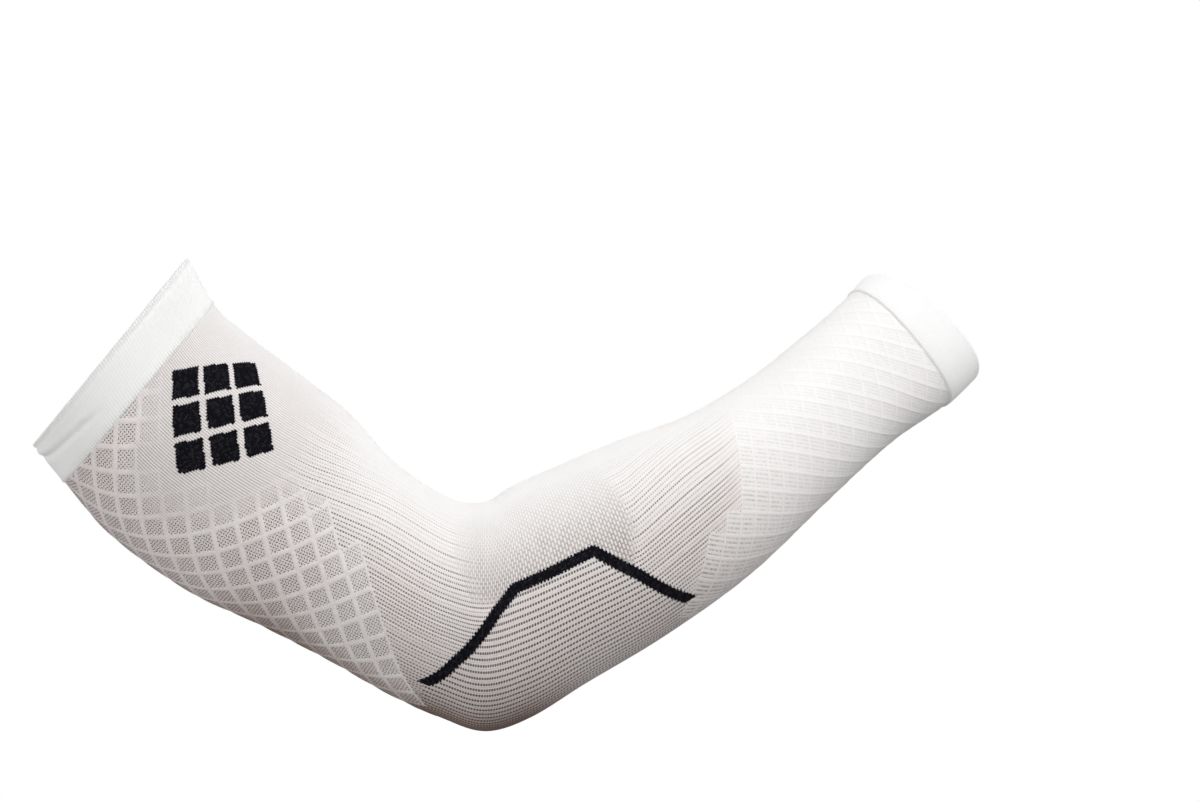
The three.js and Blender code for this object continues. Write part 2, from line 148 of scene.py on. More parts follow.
@dataclass(frozen=True)
class ArmForm:
    """The shape that the sleeve takes on a bent arm, from the same table as the solids."""

    upper_reach: float = 209.0 * MM
    fore_reach: float = 247.5 * MM
    upper_heading: float = 142.5
    bend: float = 106.8
    lean: float = 15.0
    bicep_width: float = 106.0 * MM
    bicep_depth: float = 92.0 * MM
    elbow_width: float = 101.5 * MM
    elbow_depth: float = 82.0 * MM
    wrist_width: float = 67.0 * MM
    wrist_depth: float = 48.0 * MM
    probe: Span = (0.002, 0.5)

    def solved(self) -> np.ndarray:
        """Solves each row of the table.

        Returns:
            Rows of place, middle x, y and z, facing, cant, half width, half depth, egg, square.
        """
        fore_heading = self.upper_heading - self.bend
        bisector = self.upper_heading - self.bend / 2
        rows = []
        for place, rise, width, depth, turn, cant, egg, square in FORM_ROWS:
            upper = place < 0
            heading = math.radians(self.upper_heading if upper else fore_heading)
            across = self.upper_heading - 90 if upper else fore_heading + 90
            up = math.radians(bisector if place == 0 else across)
            lean = 0.0 if upper else math.radians(self.lean)
            reach = abs(place) * (self.upper_reach if upper else self.fore_reach)
            end_width = self.bicep_width if upper else self.wrist_width
            end_depth = self.bicep_depth if upper else self.wrist_depth
            share = abs(place)
            lift = rise * self.elbow_width
            rows.append((
                place,
                reach * math.cos(lean) * math.cos(heading) + lift * math.cos(up),
                reach * math.sin(lean),
                reach * math.cos(lean) * math.sin(heading) + lift * math.sin(up),
                across + (bisector - across) * turn,
                cant,
                0.5 * width * (self.elbow_width + (end_width - self.elbow_width) * share),
                0.5 * depth * (self.elbow_depth + (end_depth - self.elbow_depth) * share),
                egg,
                square,
            ))
        return np.array(rows)

    def surface(self, place: np.ndarray, angle: np.ndarray) -> np.ndarray:
        """Finds points of the sleeve's outer face.

        Args:
            place: Places along the sleeve.
            angle: Angles round it in degrees, of the same shape.

        Returns:
            Points, with x, y and z in the last dimension.
        """
        table = self.solved()
        rows = hermite(table[:, 0], table[:, 1:], place.ravel())
        mid_x, mid_y, mid_z, facing, cant, width, depth, egg, square = rows.T
        turn = np.radians(angle.ravel())
        cosine = np.cos(turn)
        sine = np.sin(turn)
        scale = (np.abs(cosine) ** square + np.abs(sine) ** square) ** (-1 / square)
        across = width * cosine * scale
        outward = depth * sine * scale * (1 + egg * cosine)
        facing = np.radians(facing)
        cant = np.radians(cant)
        x = mid_x + across * np.cos(facing) + outward * np.sin(cant) * np.sin(facing)
        y = mid_y - outward * np.cos(cant)
        z = mid_z + across * np.sin(facing) - outward * np.sin(cant) * np.cos(facing)
        return np.stack([x, y, z], -1).reshape(place.shape + (3,))

    def normal(self, place: np.ndarray, angle: np.ndarray) -> np.ndarray:
        """Finds the outward direction of the face at each place and angle.

        Args:
            place: Places along the sleeve.
            angle: Angles round it, of the same shape.

        Returns:
            Unit directions, with x, y and z in the last dimension.
        """
        step, turn = self.probe
        along = self.surface(place + step, angle) - self.surface(place - step, angle)
        around = self.surface(place, angle + turn) - self.surface(place, angle - turn)
        normal = np.cross(around, along)
        return normal / np.linalg.norm(normal, axis=-1, keepdims=True)

    def lifted(self, place: np.ndarray, angle: np.ndarray, lift: np.ndarray) -> np.ndarray:
        """Finds points a given height above the face."""
        return self.surface(place, angle) + self.normal(place, angle) * lift[..., None]

    def upper_place(self, from_elbow: float) -> float:
        """Turns a length from the elbow up the upper arm into a place."""
        return -from_elbow / self.upper_reach

    def fore_place(self, from_elbow: float) -> float:
        """Turns a length from the elbow down the forearm into a place."""
        return from_elbow / self.fore_reach


@dataclass(frozen=True)
class KnitMap:
    """Where each stitch lies: wales along the sleeve and courses round it."""

    form: ArmForm
    table_steps: int = 2000
    wales: int = 320
    diamond: int = 16
    first_angle: float = 4.5
    course_pitch: Curve = (
        (-1.0, 0.90), (-0.2, 0.76), (-0.13, 0.747), (0.3, 0.747), (0.4, 0.70), (0.7, 0.584),
        (1.0, 0.505),
    )
    tilt: Curve = ((-1.0, 0.0), (-0.5, 4.0), (-0.2, 7.5), (0.05, 0.0), (0.35, -13.0), (1.0, -9.0))
    bow: Curve = ((-1.0, 9.0), (0.0, 8.0), (0.5, 5.0), (1.0, 5.0))
    level_angle: float = 100.0
    twist: Curve = (
        (-1.0, 0.0), (0.3, 0.0), (0.4, -3.5), (0.46, -10.0), (0.52, -19.5), (0.6, -28.5),
        (0.7, -35.0), (0.8, -37.0), (1.0, -36.0),
    )
    rib_twist: float = -55.0
    rib_twist_from: float = 0.3
    fore_from: float = 0.2
    spot_rounds: int = 2
    upper_row: float = 1.7
    fore_row: float = 2.05
    ridge_rows: float = 3.0
    ridge_top: float = 0.3
    spread: Curve = ((-1.0, 0.0), (0.2, 0.0), (0.5, 7.0), (1.0, 14.0))
    drift: Curve = (
        (-1.0, 0.0), (-0.5, 0.0), (-0.27, -20.0), (-0.1, -20.0), (0.25, -10.0), (0.45, -16.0),
        (1.0, -20.0),
    )
    drift_share: Curve = (
        (0.0, 0.0), (30.0, 0.7), (60.0, 1.0), (90.0, 0.5), (120.0, 0.35), (150.0, 0.15),
        (180.0, 0.0), (210.0, -0.15), (240.0, -0.35), (270.0, -0.5), (300.0, -1.0),
        (330.0, -0.7), (360.0, 0.0),
    )

    def course_table(self) -> tuple[np.ndarray, np.ndarray]:
        """Counts the courses from the upper rim.

        Returns:
            Fine steps of place, and the number of courses down to each.
        """
        places = np.linspace(-1.0, 1.0, self.table_steps + 1)
        middles = (places[1:] + places[:-1]) / 2
        reach = np.where(middles < 0, self.form.upper_reach, self.form.fore_reach)
        pitch = straight_curve(self.course_pitch, middles) * MM
        counts = np.concatenate([[0.0], np.cumsum(np.diff(places) * reach / pitch)])
        return places, counts

    def row(self, place: np.ndarray) -> np.ndarray:
        """Gives the course at each place, before the courses tilt."""
        places, counts = self.course_table()
        return np.interp(place, places, counts)

    def place(self, row: np.ndarray) -> np.ndarray:
        """Gives the place of each course, before the courses tilt."""
        places, counts = self.course_table()
        return np.interp(row, counts, places)

    def slant(self, place: np.ndarray, angle: np.ndarray) -> np.ndarray:
        """Gives how many courses the tilt and the bow of the knit add at each point.

        Args:
            place: Places along the sleeve.
            angle: Angles round it, of the same shape.

        Returns:
            Courses to add to those of the row.
        """
        turn = np.radians(angle - self.level_angle)
        tilt = smooth_curve(self.tilt, place) * np.sin(turn)
        return tilt + smooth_curve(self.bow, place) * (1.0 - np.cos(turn))

    def angle(self, wale: np.ndarray, place: np.ndarray) -> np.ndarray:
        """Gives the angle of each wale at each place.

        Args:
            wale: Wales.
            place: Places along the sleeve, of the same shape.

        Returns:
            Angles, with the drift that the bend pulls in and the forearm's twist.
        """
        round_angle = 360.0 * wale / self.wales + self.first_angle
        drift = smooth_curve(self.drift, place)
        drift = drift * smooth_curve(self.drift_share, round_angle % 360.0)
        turned = round_angle + drift + smooth_curve(self.twist, place)
        return turned + smooth_curve(self.spread, place) * np.sin(np.radians(turned - 90.0))

    def turn(self, place: np.ndarray) -> np.ndarray:
        """Says how many wales more than the ribs the forearm's lattice has turned round the arm."""
        even = self.rib_twist * np.maximum(place - self.rib_twist_from, 0.0)
        return (smooth_curve(self.twist, place) - even) * self.wales / 360.0

    def ridges(self, wale: np.ndarray, place: np.ndarray) -> np.ndarray:
        """Rises to 1 on the soft ridge of each few rows of the ribs.

        Args:
            wale: Wales.
            place: Places, of the same shape.

        Returns:
            How far up a ridge each point is.
        """
        fore = (wale + self.turn(place)) / self.fore_row
        row = np.where(place > self.fore_from, fore, wale / self.upper_row)
        part = ((row - 0.5) / self.ridge_rows) % 1.0
        return ease(0.0, self.ridge_top, part) * (1.0 - ease(self.ridge_top, 1.0, part))

    def spot(self, wale: np.ndarray, course: np.ndarray) -> tuple[np.ndarray, np.ndarray]:
        """Finds where stitches lie.

        Args:
            wale: Wales of the stitches.
            course: Courses of the stitches, of the same shape.

        Returns:
            Their places, and their angles from 0 to 360.
        """
        place = self.place(course)
        for _ in range(self.spot_rounds):
            angle = self.angle(wale, place)
            place = self.place(course - self.slant(place, angle))
        return place, self.angle(wale, place) % 360.0


@dataclass(frozen=True)
class KnitZones:
    """Which knit each stitch belongs to: diamonds, open mesh, elbow cap or ribs."""

    knit: KnitMap
    upper_edge: Curve = (
        (-1.0, 64.0), (-0.90, 70.0), (-0.85, 86.0), (-0.80, 104.0), (-0.735, 113.0),
        (-0.60, 95.0), (-0.536, 76.0), (-0.518, 71.0), (-0.45, 67.0), (-0.344, 80.0),
        (-0.286, 95.0), (-0.229, 103.0), (-0.189, 122.0), (-0.145, 131.0), (-0.13, 165.0),
    )
    upper_end: float = -0.13
    upper_mirror: float = 320.0
    fore_edge: Curve = (
        (0.0, 0.56), (59.0, 0.53), (95.0, 0.494), (104.0, 0.444), (127.0, 0.396),
        (137.0, 0.376), (160.0, 0.36), (180.0, 0.36),
    )
    fore_mirror: float = 336.0
    # Openness round the sleeve by angle, for the upper arm and the lower part. It rises toward the
    # elbow's point, so it is partly real stretch and partly painted shade on the underside.
    upper_open_and_shade: Curve = (
        (0.0, 0.15), (30.0, 0.45), (60.0, 0.7), (90.0, 0.84), (130.0, 0.98), (160.0, 1.05),
        (180.0, 1.3),
    )
    lower_open_and_shade: Curve = (
        (0.0, 0.02), (25.0, 0.1), (50.0, 0.32), (75.0, 0.7), (100.0, 0.97), (125.0, 1.05),
        (140.0, 1.15), (155.0, 1.4), (180.0, 1.7),
    )
    upper_to_lower: Span = (-0.6, -0.35)
    level_off: Span = (0.05, 0.22)
    edge_fade: float = 24.0
    edge_share: float = 0.25
    soft_end: float = -0.42
    lattice_fade: Curve = (
        (-0.45, 1.0), (-0.32, 0.85), (0.36, 0.8), (0.45, 0.5), (0.6, 0.25), (0.75, 0.17),
        (1.0, 0.12),
    )
    band_edge: Span = (0.09, 0.17)
    fore_rising_band: float = 0.4
    fore_relief_from: Span = (-0.02, 0.14)
    rib_start: Span = (-0.6, -0.42)
    rib_end: Span = (-0.06, 0.02)
    rib_end_share: float = 0.25
    lace_upper_edge: Curve = (
        (0.0, -0.115), (24.0, -0.112), (60.0, -0.094), (80.0, -0.041), (84.5, 0.039),
        (90.0, 0.05),
    )
    lace_lower_edge: Curve = (
        (0.0, 0.245), (20.0, 0.251), (55.0, 0.294), (75.0, 0.308), (95.0, 0.296),
        (100.0, 0.262),
    )
    lace_side: float = 105.0
    lace_fade: float = 0.08
    lace_edge_share: float = 0.35
    lace_end: float = 0.03
    stripe_near: Curve = (
        (-0.132, 134.0), (-0.068, 112.0), (-0.01, 97.0), (0.029, 87.0), (0.076, 79.5),
        (0.151, 80.0), (0.22, 79.5), (0.292, 103.0), (0.378, 137.0),
    )
    stripe_far: Curve = (
        (-0.132, 173.0), (-0.068, 200.0), (-0.01, 217.0), (0.029, 228.0), (0.076, 239.0),
        (0.151, 241.0), (0.22, 245.0), (0.292, 225.0), (0.378, 195.0),
    )

    def diamonds_at(self, place: np.ndarray, angle: np.ndarray) -> np.ndarray:
        """Says where the diamond lattice lies, before its edge is stepped from cell to cell.

        Args:
            place: Places along the sleeve.
            angle: Angles round it, of the same shape.

        Returns:
            Which points are in the lattice.
        """
        front = straight_curve(self.upper_edge, place)
        upper = (place < self.upper_end) & (angle > front) & (angle < self.upper_mirror - front)
        return upper | (self.past_fore_edge(place, angle) > 0.0)

    def lattice(self, wale: np.ndarray, course: np.ndarray) -> np.ndarray:
        """Marks the stitches of whole diamonds, up to the middle of the bands round them.

        Args:
            wale: Wales of the stitches.
            course: Courses of the stitches, of the same shape.

        Returns:
            1 in the lattice and 0 elsewhere.
        """
        size = self.knit.diamond
        a, b = np.floor((wale + course) / size), np.floor((wale - course) / size)
        spot = self.knit.spot((a + b + 1) * size / 2, (a - b) * size / 2)
        return self.diamonds_at(*spot).astype(float)

    def bands(self, wale: np.ndarray, course: np.ndarray, place: np.ndarray) -> np.ndarray:
        """Rises to 1 on the bands between the diamonds.

        Args:
            wale: Wales of the stitches.
            course: Courses of the stitches, of the same shape.
            place: Places along the sleeve, of the same shape.

        Returns:
            How far each stitch is on a band; on the forearm one way of bands is weaker.
        """
        rising = (wale + course) / self.knit.diamond
        falling = (wale - course) / self.knit.diamond
        strong = 1.0 - ease(*self.band_edge, np.abs(falling - np.rint(falling)))
        weak = 1.0 - ease(*self.band_edge, np.abs(rising - np.rint(rising)))
        share = np.where(place > self.knit.fore_from, self.fore_rising_band, 1.0)
        return np.maximum(strong, weak * share)

    def openness_and_shade(self, place: np.ndarray, angle: np.ndarray, lattice: np.ndarray) -> np.ndarray:
        """Says how far the knit is pulled open, together with painted shade that darkens it toward
        the underside.

        Args:
            place: Places along the sleeve.
            angle: Angles round it, of the same shape.
            lattice: 1 in the diamond lattice and 0 elsewhere, of the same shape.

        Returns:
            0 where the knit is closed and white, and 1 where it is pulled open most; its rise
            toward the underside is also painted shade, and past 1 it paints the darkest shade at
            the elbow's point.
        """
        folded = np.where(angle > 180.0, 360.0 - angle, angle)
        upper = straight_curve(self.upper_open_and_shade, folded)
        lower = straight_curve(self.lower_open_and_shade, folded)
        opened = upper + (lower - upper) * ease(*self.upper_to_lower, place)
        opened = opened - np.maximum(opened - 1.0, 0.0) * ease(*self.level_off, place)
        fade = straight_curve(self.lattice_fade, place)
        return opened * (1.0 - lattice * (1.0 - fade))

    def soft_edge(self, place: np.ndarray, angle: np.ndarray) -> np.ndarray:
        """Fades the lattice into the plain knit along its front edge on the upper arm.

        Args:
            place: Places along the sleeve.
            angle: Angles round it, of the same shape.

        Returns:
            The lattice's strength, from 0 to 1.
        """
        front = straight_curve(self.upper_edge, place)
        inside = np.minimum(angle - front, self.upper_mirror - front - angle)
        fade = self.edge_share + (1.0 - self.edge_share) * ease(0.0, self.edge_fade, inside)
        return np.where(place < self.soft_end, fade, 1.0)

    def past_fore_edge(self, place: np.ndarray, angle: np.ndarray) -> np.ndarray:
        """Says how far past the front edge of the forearm's lattice each point is."""
        folded = np.where(angle > self.fore_mirror / 2, self.fore_mirror - angle, angle)
        return place - straight_curve(self.fore_edge, np.clip(folded, 0.0, 180.0))

    def inside_edge(self, place: np.ndarray, angle: np.ndarray) -> np.ndarray:
        """Rises from 0 at the front edge of the forearm's lattice to 1 further in."""
        past = self.past_fore_edge(place, angle)
        return np.where(place < 0.0, 1.0, ease(*self.fore_relief_from, past))

    def rib_fade(self, place: np.ndarray, angle: np.ndarray) -> np.ndarray:
        """Fades the forearm's ribs where they end at the lattice."""
        past = self.past_fore_edge(place, angle)
        return 1.0 - (1.0 - self.rib_end_share) * ease(*self.rib_end, past)

    def cap(self, place: np.ndarray, angle: np.ndarray) -> np.ndarray:
        """Marks the elbow cap, between the two stripes.

        Args:
            place: Places along the sleeve.
            angle: Angles round it, of the same shape.

        Returns:
            1 in the cap and 0 elsewhere.
        """
        inside = (place > self.stripe_near[0][0]) & (place < self.stripe_near[-1][0])
        near = straight_curve(self.stripe_near, place)
        far = straight_curve(self.stripe_far, place)
        return (inside & (angle > near) & (angle < far)).astype(float)

    def lace(self, place: np.ndarray, angle: np.ndarray) -> np.ndarray:
        """Marks the open mesh in the crook of the elbow.

        Args:
            place: Places along the sleeve.
            angle: Angles round it, of the same shape.

        Returns:
            The mesh's strength, from 0 to 1.
        """
        near = straight_curve(self.stripe_near, place)
        far = straight_curve(self.stripe_far, place)
        folded = np.where(angle > 180.0, (360.0 - angle) * near / (360.0 - far), angle)
        past = place - straight_curve(self.lace_upper_edge, folded)
        left = straight_curve(self.lace_lower_edge, folded) - place
        inside = (past > 0.0) & (left > 0.0) & (folded < np.minimum(near, self.lace_side))
        share = self.lace_edge_share
        share = share + (1.0 - share) * ease(0.0, self.lace_fade, past)
        return inside * share * ease(0.0, self.lace_end, left)


class Maths:
    """A number in a material, on which Python's operators add Math nodes."""

    def __init__(self, sheet: "MaterialSheet", socket: bpy.types.NodeSocket) -> None:
        """Wraps one output socket of a material."""
        self.sheet = sheet
        self.socket = socket

    def run(self, operation: str, *others: "Maths | float") -> "Maths":
        """Adds a Math node with this number first.

        Args:
            operation: The Math node's operation.
            others: Its further numbers.

        Returns:
            The node's result.
        """
        inputs = dict(enumerate((self, *others)))
        node = self.sheet.add("ShaderNodeMath", {"operation": operation}, inputs)
        return Maths(self.sheet, node.outputs[0])

    def after(self, operation: str, first: float) -> "Maths":
        """Adds a Math node with a plain number first and this one second."""
        node = self.sheet.add("ShaderNodeMath", {"operation": operation}, {0: first, 1: self})
        return Maths(self.sheet, node.outputs[0])

    def __add__(self, other: "Maths | float") -> "Maths":
        """Adds a number."""
        return self.run("ADD", other)

    __radd__ = __add__

    def __sub__(self, other: "Maths | float") -> "Maths":
        """Takes a number away."""
        return self.run("SUBTRACT", other)

    def __rsub__(self, other: float) -> "Maths":
        """Takes this number from a plain one."""
        return self.after("SUBTRACT", other)

    def __mul__(self, other: "Maths | float") -> "Maths":
        """Multiplies by a number."""
        return self.run("MULTIPLY", other)

    __rmul__ = __mul__

    def __truediv__(self, other: "Maths | float") -> "Maths":
        """Divides by a number."""
        return self.run("DIVIDE", other)

    def floor(self) -> "Maths":
        """Rounds down."""
        return self.run("FLOOR")

    def from_middle(self) -> "Maths":
        """Gives how far the fraction is from a half."""
        return (self.run("FRACT") - 0.5).run("ABSOLUTE")

    def low(self, other: "Maths | float") -> "Maths":
        """Takes the lower of two numbers."""
        return self.run("MINIMUM", other)

    def rise(self, low: float, high: float) -> "Maths":
        """Rises smoothly from 0 at low to 1 at high.

        Args:
            low: Where the rise starts.
            high: Where it ends.

        Returns:
            A number from 0 to 1.
        """
        node = self.sheet.add(
            "ShaderNodeMapRange",
            {"interpolation_type": "SMOOTHSTEP"},
            {"Value": self, "From Min": low, "From Max": high},
        )
        return Maths(self.sheet, node.outputs[0])

    def fall(self, low: float, high: float) -> "Maths":
        """Falls smoothly from 1 at low to 0 at high."""
        return 1.0 - self.rise(low, high)

    def mark(self, fade: Span) -> "Maths":
        """Marks the middle of each unit, and fades over a span of lengths from there."""
        return self.from_middle().fall(*fade)

    def between(self, ends: Span) -> "Maths":
        """Runs from the first end at 0 to the second at 1."""
        return ends[0] + (ends[1] - ends[0]) * self


class MaterialSheet:
    """A material's nodes, all added through one method."""

    # The sockets of the Mix node that take and give colours.
    COLOUR_A = 6
    COLOUR_B = 7
    COLOUR_OUT = 2

    def __init__(self, name: str) -> None:
        """Starts an empty material of this name.

        Args:
            name: The material's name.
        """
        self.material = bpy.data.materials.new(name)
        self.material.use_nodes = True
        self.tree = self.material.node_tree
        self.tree.nodes.clear()

    def add(self, kind: str, settings: dict, inputs: dict) -> bpy.types.Node:
        """Adds one node.

        Args:
            kind: The node's type.
            settings: Its own settings, which are set first.
            inputs: Values or links for its sockets, by name or number.

        Returns:
            The new node.
        """
        node = self.tree.nodes.new(kind)
        for key, value in settings.items():
            setattr(node, key, value)
        for key, value in inputs.items():
            source = value.socket if isinstance(value, Maths) else value
            if isinstance(source, bpy.types.NodeSocket):
                self.tree.links.new(source, node.inputs[key])
            else:
                node.inputs[key].default_value = source
        return node

    def attribute(self, name: str) -> Maths:
        """Reads a number kept on the mesh."""
        node = self.add("ShaderNodeAttribute", {"attribute_name": name}, {})
        return Maths(self, node.outputs["Fac"])

    def stitches(self) -> tuple[Maths, Maths]:
        """Reads the wale and the course.

        Returns:
            The wale and the course, as two numbers.
        """
        uv = self.add("ShaderNodeUVMap", {"uv_map": "stitches"}, {})
        split = self.add("ShaderNodeSeparateXYZ", {}, {0: uv.outputs[0]})
        return Maths(self, split.outputs[0]), Maths(self, split.outputs[1])

    def chance(self, first: Maths, second: Maths | float) -> Maths:
        """Gives a number from 0 to 1 that is fixed for each pair of whole numbers.

        Args:
            first: One whole number.
            second: Another one, or a seed.

        Returns:
            The number.
        """
        pair = self.add("ShaderNodeCombineXYZ", {}, {0: first, 1: second})
        noise = self.add(
            "ShaderNodeTexWhiteNoise", {"noise_dimensions": "2D"}, {"Vector": pair.outputs[0]}
        )
        return Maths(self, noise.outputs["Value"])

    def cloud(self, scale: float, detail: float) -> Maths:
        """Gives soft noise over the piece.

        Args:
            scale: Patches in a metre.
            detail: How many finer layers are added.

        Returns:
            A number from 0 to 1.
        """
        where = self.add("ShaderNodeTexCoord", {}, {})
        noise = self.add(
            "ShaderNodeTexNoise", {},
            {"Vector": where.outputs["Object"], "Scale": scale, "Detail": detail},
        )
        return Maths(self, noise.outputs[0])

    def blend(
        self,
        share: Maths,
        first: bpy.types.NodeSocket | Colour,
        second: bpy.types.NodeSocket | Colour,
    ) -> bpy.types.NodeSocket:
        """Blends two colours.

        Args:
            share: How much of the second shows.
            first: A colour or a link.
            second: A colour or a link.

        Returns:
            The blended colour.
        """
        settings = {"data_type": "RGBA", "clamp_factor": True}
        inputs = {0: share, self.COLOUR_A: first, self.COLOUR_B: second}
        return self.add("ShaderNodeMix", settings, inputs).outputs[self.COLOUR_OUT]

    def finish(
        self,
        colour: bpy.types.NodeSocket,
        height: Maths,
        depth: float,
        roughness: float,
        gloss: float,
        dull: float = 0.0,
    ) -> bpy.types.Material:
        """Ends the material in one shader.

        Args:
            colour: The base colour.
            height: Relief, in shares of the depth.
            depth: What a height of 1 stands for, in metres.
            roughness: The roughness.
            gloss: The specular level.
            dull: How evenly the rough yarn scatters light to all sides.

        Returns:
            The material.
        """
        relief = {"Strength": 1.0, "Distance": depth, "Height": height}
        bump = self.add("ShaderNodeBump", {}, relief)
        shader = self.add(
            "ShaderNodeBsdfPrincipled", {},
            {
                "Base Color": colour,
                "Roughness": roughness,
                "Specular IOR Level": gloss,
                "Diffuse Roughness": dull,
                "Normal": bump.outputs[0],
            },
        )
        self.add("ShaderNodeOutputMaterial", {}, {0: shader.outputs[0]})
        return self.material


@dataclass(frozen=True)
class WhiteKnit:
    """Fine white knit: a diamond lattice, dotted ribs, and an open mesh in the crook.

    A name in _wale or _course says how many repeats lie in one wale or course, and one in _row
    how many wales lie in one row. A name in _across or _along gives the span over which a mark
    fades from its middle, and one in _power its weakest and its strongest. Of the two numbers
    of a height, the second is the forearm's. A seed sets one chance apart from another.
    """

    yarn: Colour = (0.95, 0.945, 0.94, 1.0)
    shade: Colour = (0.055, 0.034, 0.027, 1.0)
    stretched: Colour = (0.785, 0.672, 0.652, 1.0)
    # Dark brown of skin through the stretched knit, mixed with painted shade, blended in toward the
    # elbow's point on the underside.
    skin_and_shade_side: Colour = (0.34, 0.25, 0.215, 1.0)
    skin_and_shade_gain: float = 2.0
    depth: float = 0.25 * MM
    roughness: float = 0.9
    gloss: float = 0.15
    diamond: float = KnitMap.diamond
    upper_row: float = KnitMap.upper_row
    fore_row: float = KnitMap.fore_row
    ridge_rows: float = KnitMap.ridge_rows
    ridge_top: float = KnitMap.ridge_top
    ridge_deep: Span = (0.3, 1.0)
    rising_off: float = 0.05
    falling_off: float = 0.02
    cell_edge: Span = (0.075, 0.15)
    band_edge: Span = (0.04, 0.14)
    hole_wale: float = 0.72
    hole_course: float = 0.66
    hole_zigzag: float = 1.5
    hole_across: Span = (0.12, 0.4)
    hole_along: Span = (0.08, 0.32)
    hole_power: Span = (0.8, 1.4)
    dash_lines: float = 5.0
    dash_pieces: float = 7.0
    dash_seed: float = 3.0
    dash_across: Span = (0.08, 0.36)
    dash_along: Span = (0.16, 0.5)
    dash_break: Span = (0.5, 1.0)
    dash_power: Span = (0.25, 1.0)
    dot_wale: float = 0.86
    dot_course: float = 0.7
    dot_across: Span = (0.1, 0.38)
    dot_along: Span = (0.1, 0.42)
    dot_power: Span = (0.65, 1.0)
    row_course: float = 0.6
    row_along: Span = (0.08, 0.38)
    cap_row: float = 2.78
    cap_seed: float = 9.0
    cap_across: Span = (0.08, 0.27)
    cap_between: Span = (0.04, 0.16)
    cap_between_power: float = 0.5
    cap_dots: Span = (0.16, 1.0)
    cap_power: Span = (1.5, 2.0)
    rib_seed: float = 7.0
    rib_across: Span = (0.06, 0.27)
    rib_dots: Span = (0.1, 1.0)
    rib_power: Span = (1.2, 1.7)
    first_row: Span = (0.1, 0.2)
    strong_rib: float = 1.2
    weak_rib: Span = (0.4, 1.0)
    brick_row: float = 2.7
    brick_course: float = 0.54
    brick_across: Span = (0.16, 0.4)
    brick_along: Span = (0.24, 0.46)
    brick_power: Span = (0.7, 1.0)
    plain_share: float = 0.6
    lace_share: float = 0.85
    # How strong the painted shade in the gaps between stitches is: at random, and more in the
    # lattice.
    gap_shade_power: Span = (0.1, 0.6)
    gap_shade_share: Span = (0.45, 0.65)
    # The share of stretched tint everywhere. Through the openness mark it is also painted shade
    # toward the underside.
    stretch_and_shade_all: float = 0.42
    stretch_cell: float = 0.15
    stretch_elbow: float = 0.1
    stretch_ribs: float = 0.12
    stretch_speck: float = 0.06
    cloud_scale: float = 45.0
    cloud_detail: float = 2.0
    cloud_share: float = 0.2
    hole_share: float = 0.9
    band_height: Span = (0.6, 0.3)
    ridge_height: Span = (0.35, 0.175)
    loop_height: float = 0.175
    speck_height: float = 0.1

    def upper_holes(self, sheet: MaterialSheet, wale: Maths, course: Maths) -> Maths:
        """Small slanted holes in zigzag rows, which fill the diamonds of the upper arm.

        Args:
            sheet: The material.
            wale: The wale.
            course: The course.

        Returns:
            How open the knit is, from 0 to 1 or a little over.
        """
        column = wale * self.hole_wale
        step = course * self.hole_course + (column / 2.0).from_middle() * self.hole_zigzag
        hole = column.mark(self.hole_across) * step.mark(self.hole_along)
        return hole * sheet.chance(column.floor(), step.floor()).between(self.hole_power)

    def forearm_dashes(self, sheet: MaterialSheet, rising: Maths, falling: Maths) -> Maths:
        """Broken dashes along one way of the lattice, which fill the forearm's diamonds.

        Args:
            sheet: The material.
            rising: Diamonds counted one way.
            falling: Diamonds counted the other way.

        Returns:
            How open the knit is, from 0 to 1 or a little over.
        """
        line = falling * self.dash_lines
        piece = rising * self.dash_pieces + sheet.chance(line.floor(), self.dash_seed)
        dash = line.mark(self.dash_across) * piece.mark(self.dash_along).between(self.dash_break)
        return dash * sheet.chance(piece.floor(), line.floor()).between(self.dash_power)

    def dots(self, wale: Maths, course: Maths) -> Maths:
        """Fine dotted rows along the wales, for the plain knit."""
        dot = (course * self.dot_course).mark(self.dot_along)
        return (wale * self.dot_wale).mark(self.dot_across) * dot.between(self.dot_power)

    def cap_rows(self, sheet: MaterialSheet, wale: Maths, course: Maths) -> Maths:
        """Dotted rows along the elbow cap, with fainter dots between them.

        Args:
            sheet: The material.
            wale: The wale.
            course: The course.

        Returns:
            How open the knit is, from 0 to 1 or a little over.
        """
        row = wale / self.cap_row
        step = course * self.row_course + sheet.chance(row.floor(), self.cap_seed)
        line = row.mark(self.cap_across) * step.mark(self.row_along).between(self.cap_dots)
        between = (row + 0.5).mark(self.cap_between) * (step + 0.5).from_middle()
        uneven = sheet.chance(row.floor(), step.floor()).between(self.cap_power)
        return line * uneven + between * self.cap_between_power

    def rib_rows(self, sheet: MaterialSheet, row: Maths, course: Maths) -> Maths:
        """Dotted rows along the ribs: the ridges' rows strong, the others weak and uneven.

        Args:
            sheet: The material.
            row: The row of the ribs.
            course: The course.

        Returns:
            How open the knit is, from 0 to 1 or a little over.
        """
        chance = sheet.chance(row.floor(), self.rib_seed)
        strong = (row.floor() / self.ridge_rows).run("FRACT").fall(*self.first_row)
        power = strong * self.strong_rib + (1.0 - strong) * chance.between(self.weak_rib)
        step = course * self.row_course + chance
        line = row.mark(self.rib_across) * step.mark(self.row_along).between(self.rib_dots)
        uneven = sheet.chance(row.floor(), step.floor()).between(self.rib_power)
        return line * power * uneven

    def rib_ridge(self, row: Maths) -> Maths:
        """A soft ridge below each strong row of the ribs."""
        part = ((row - 0.5) / self.ridge_rows).run("FRACT")
        return part.rise(0.0, self.ridge_top) * part.fall(self.ridge_top, 1.0)

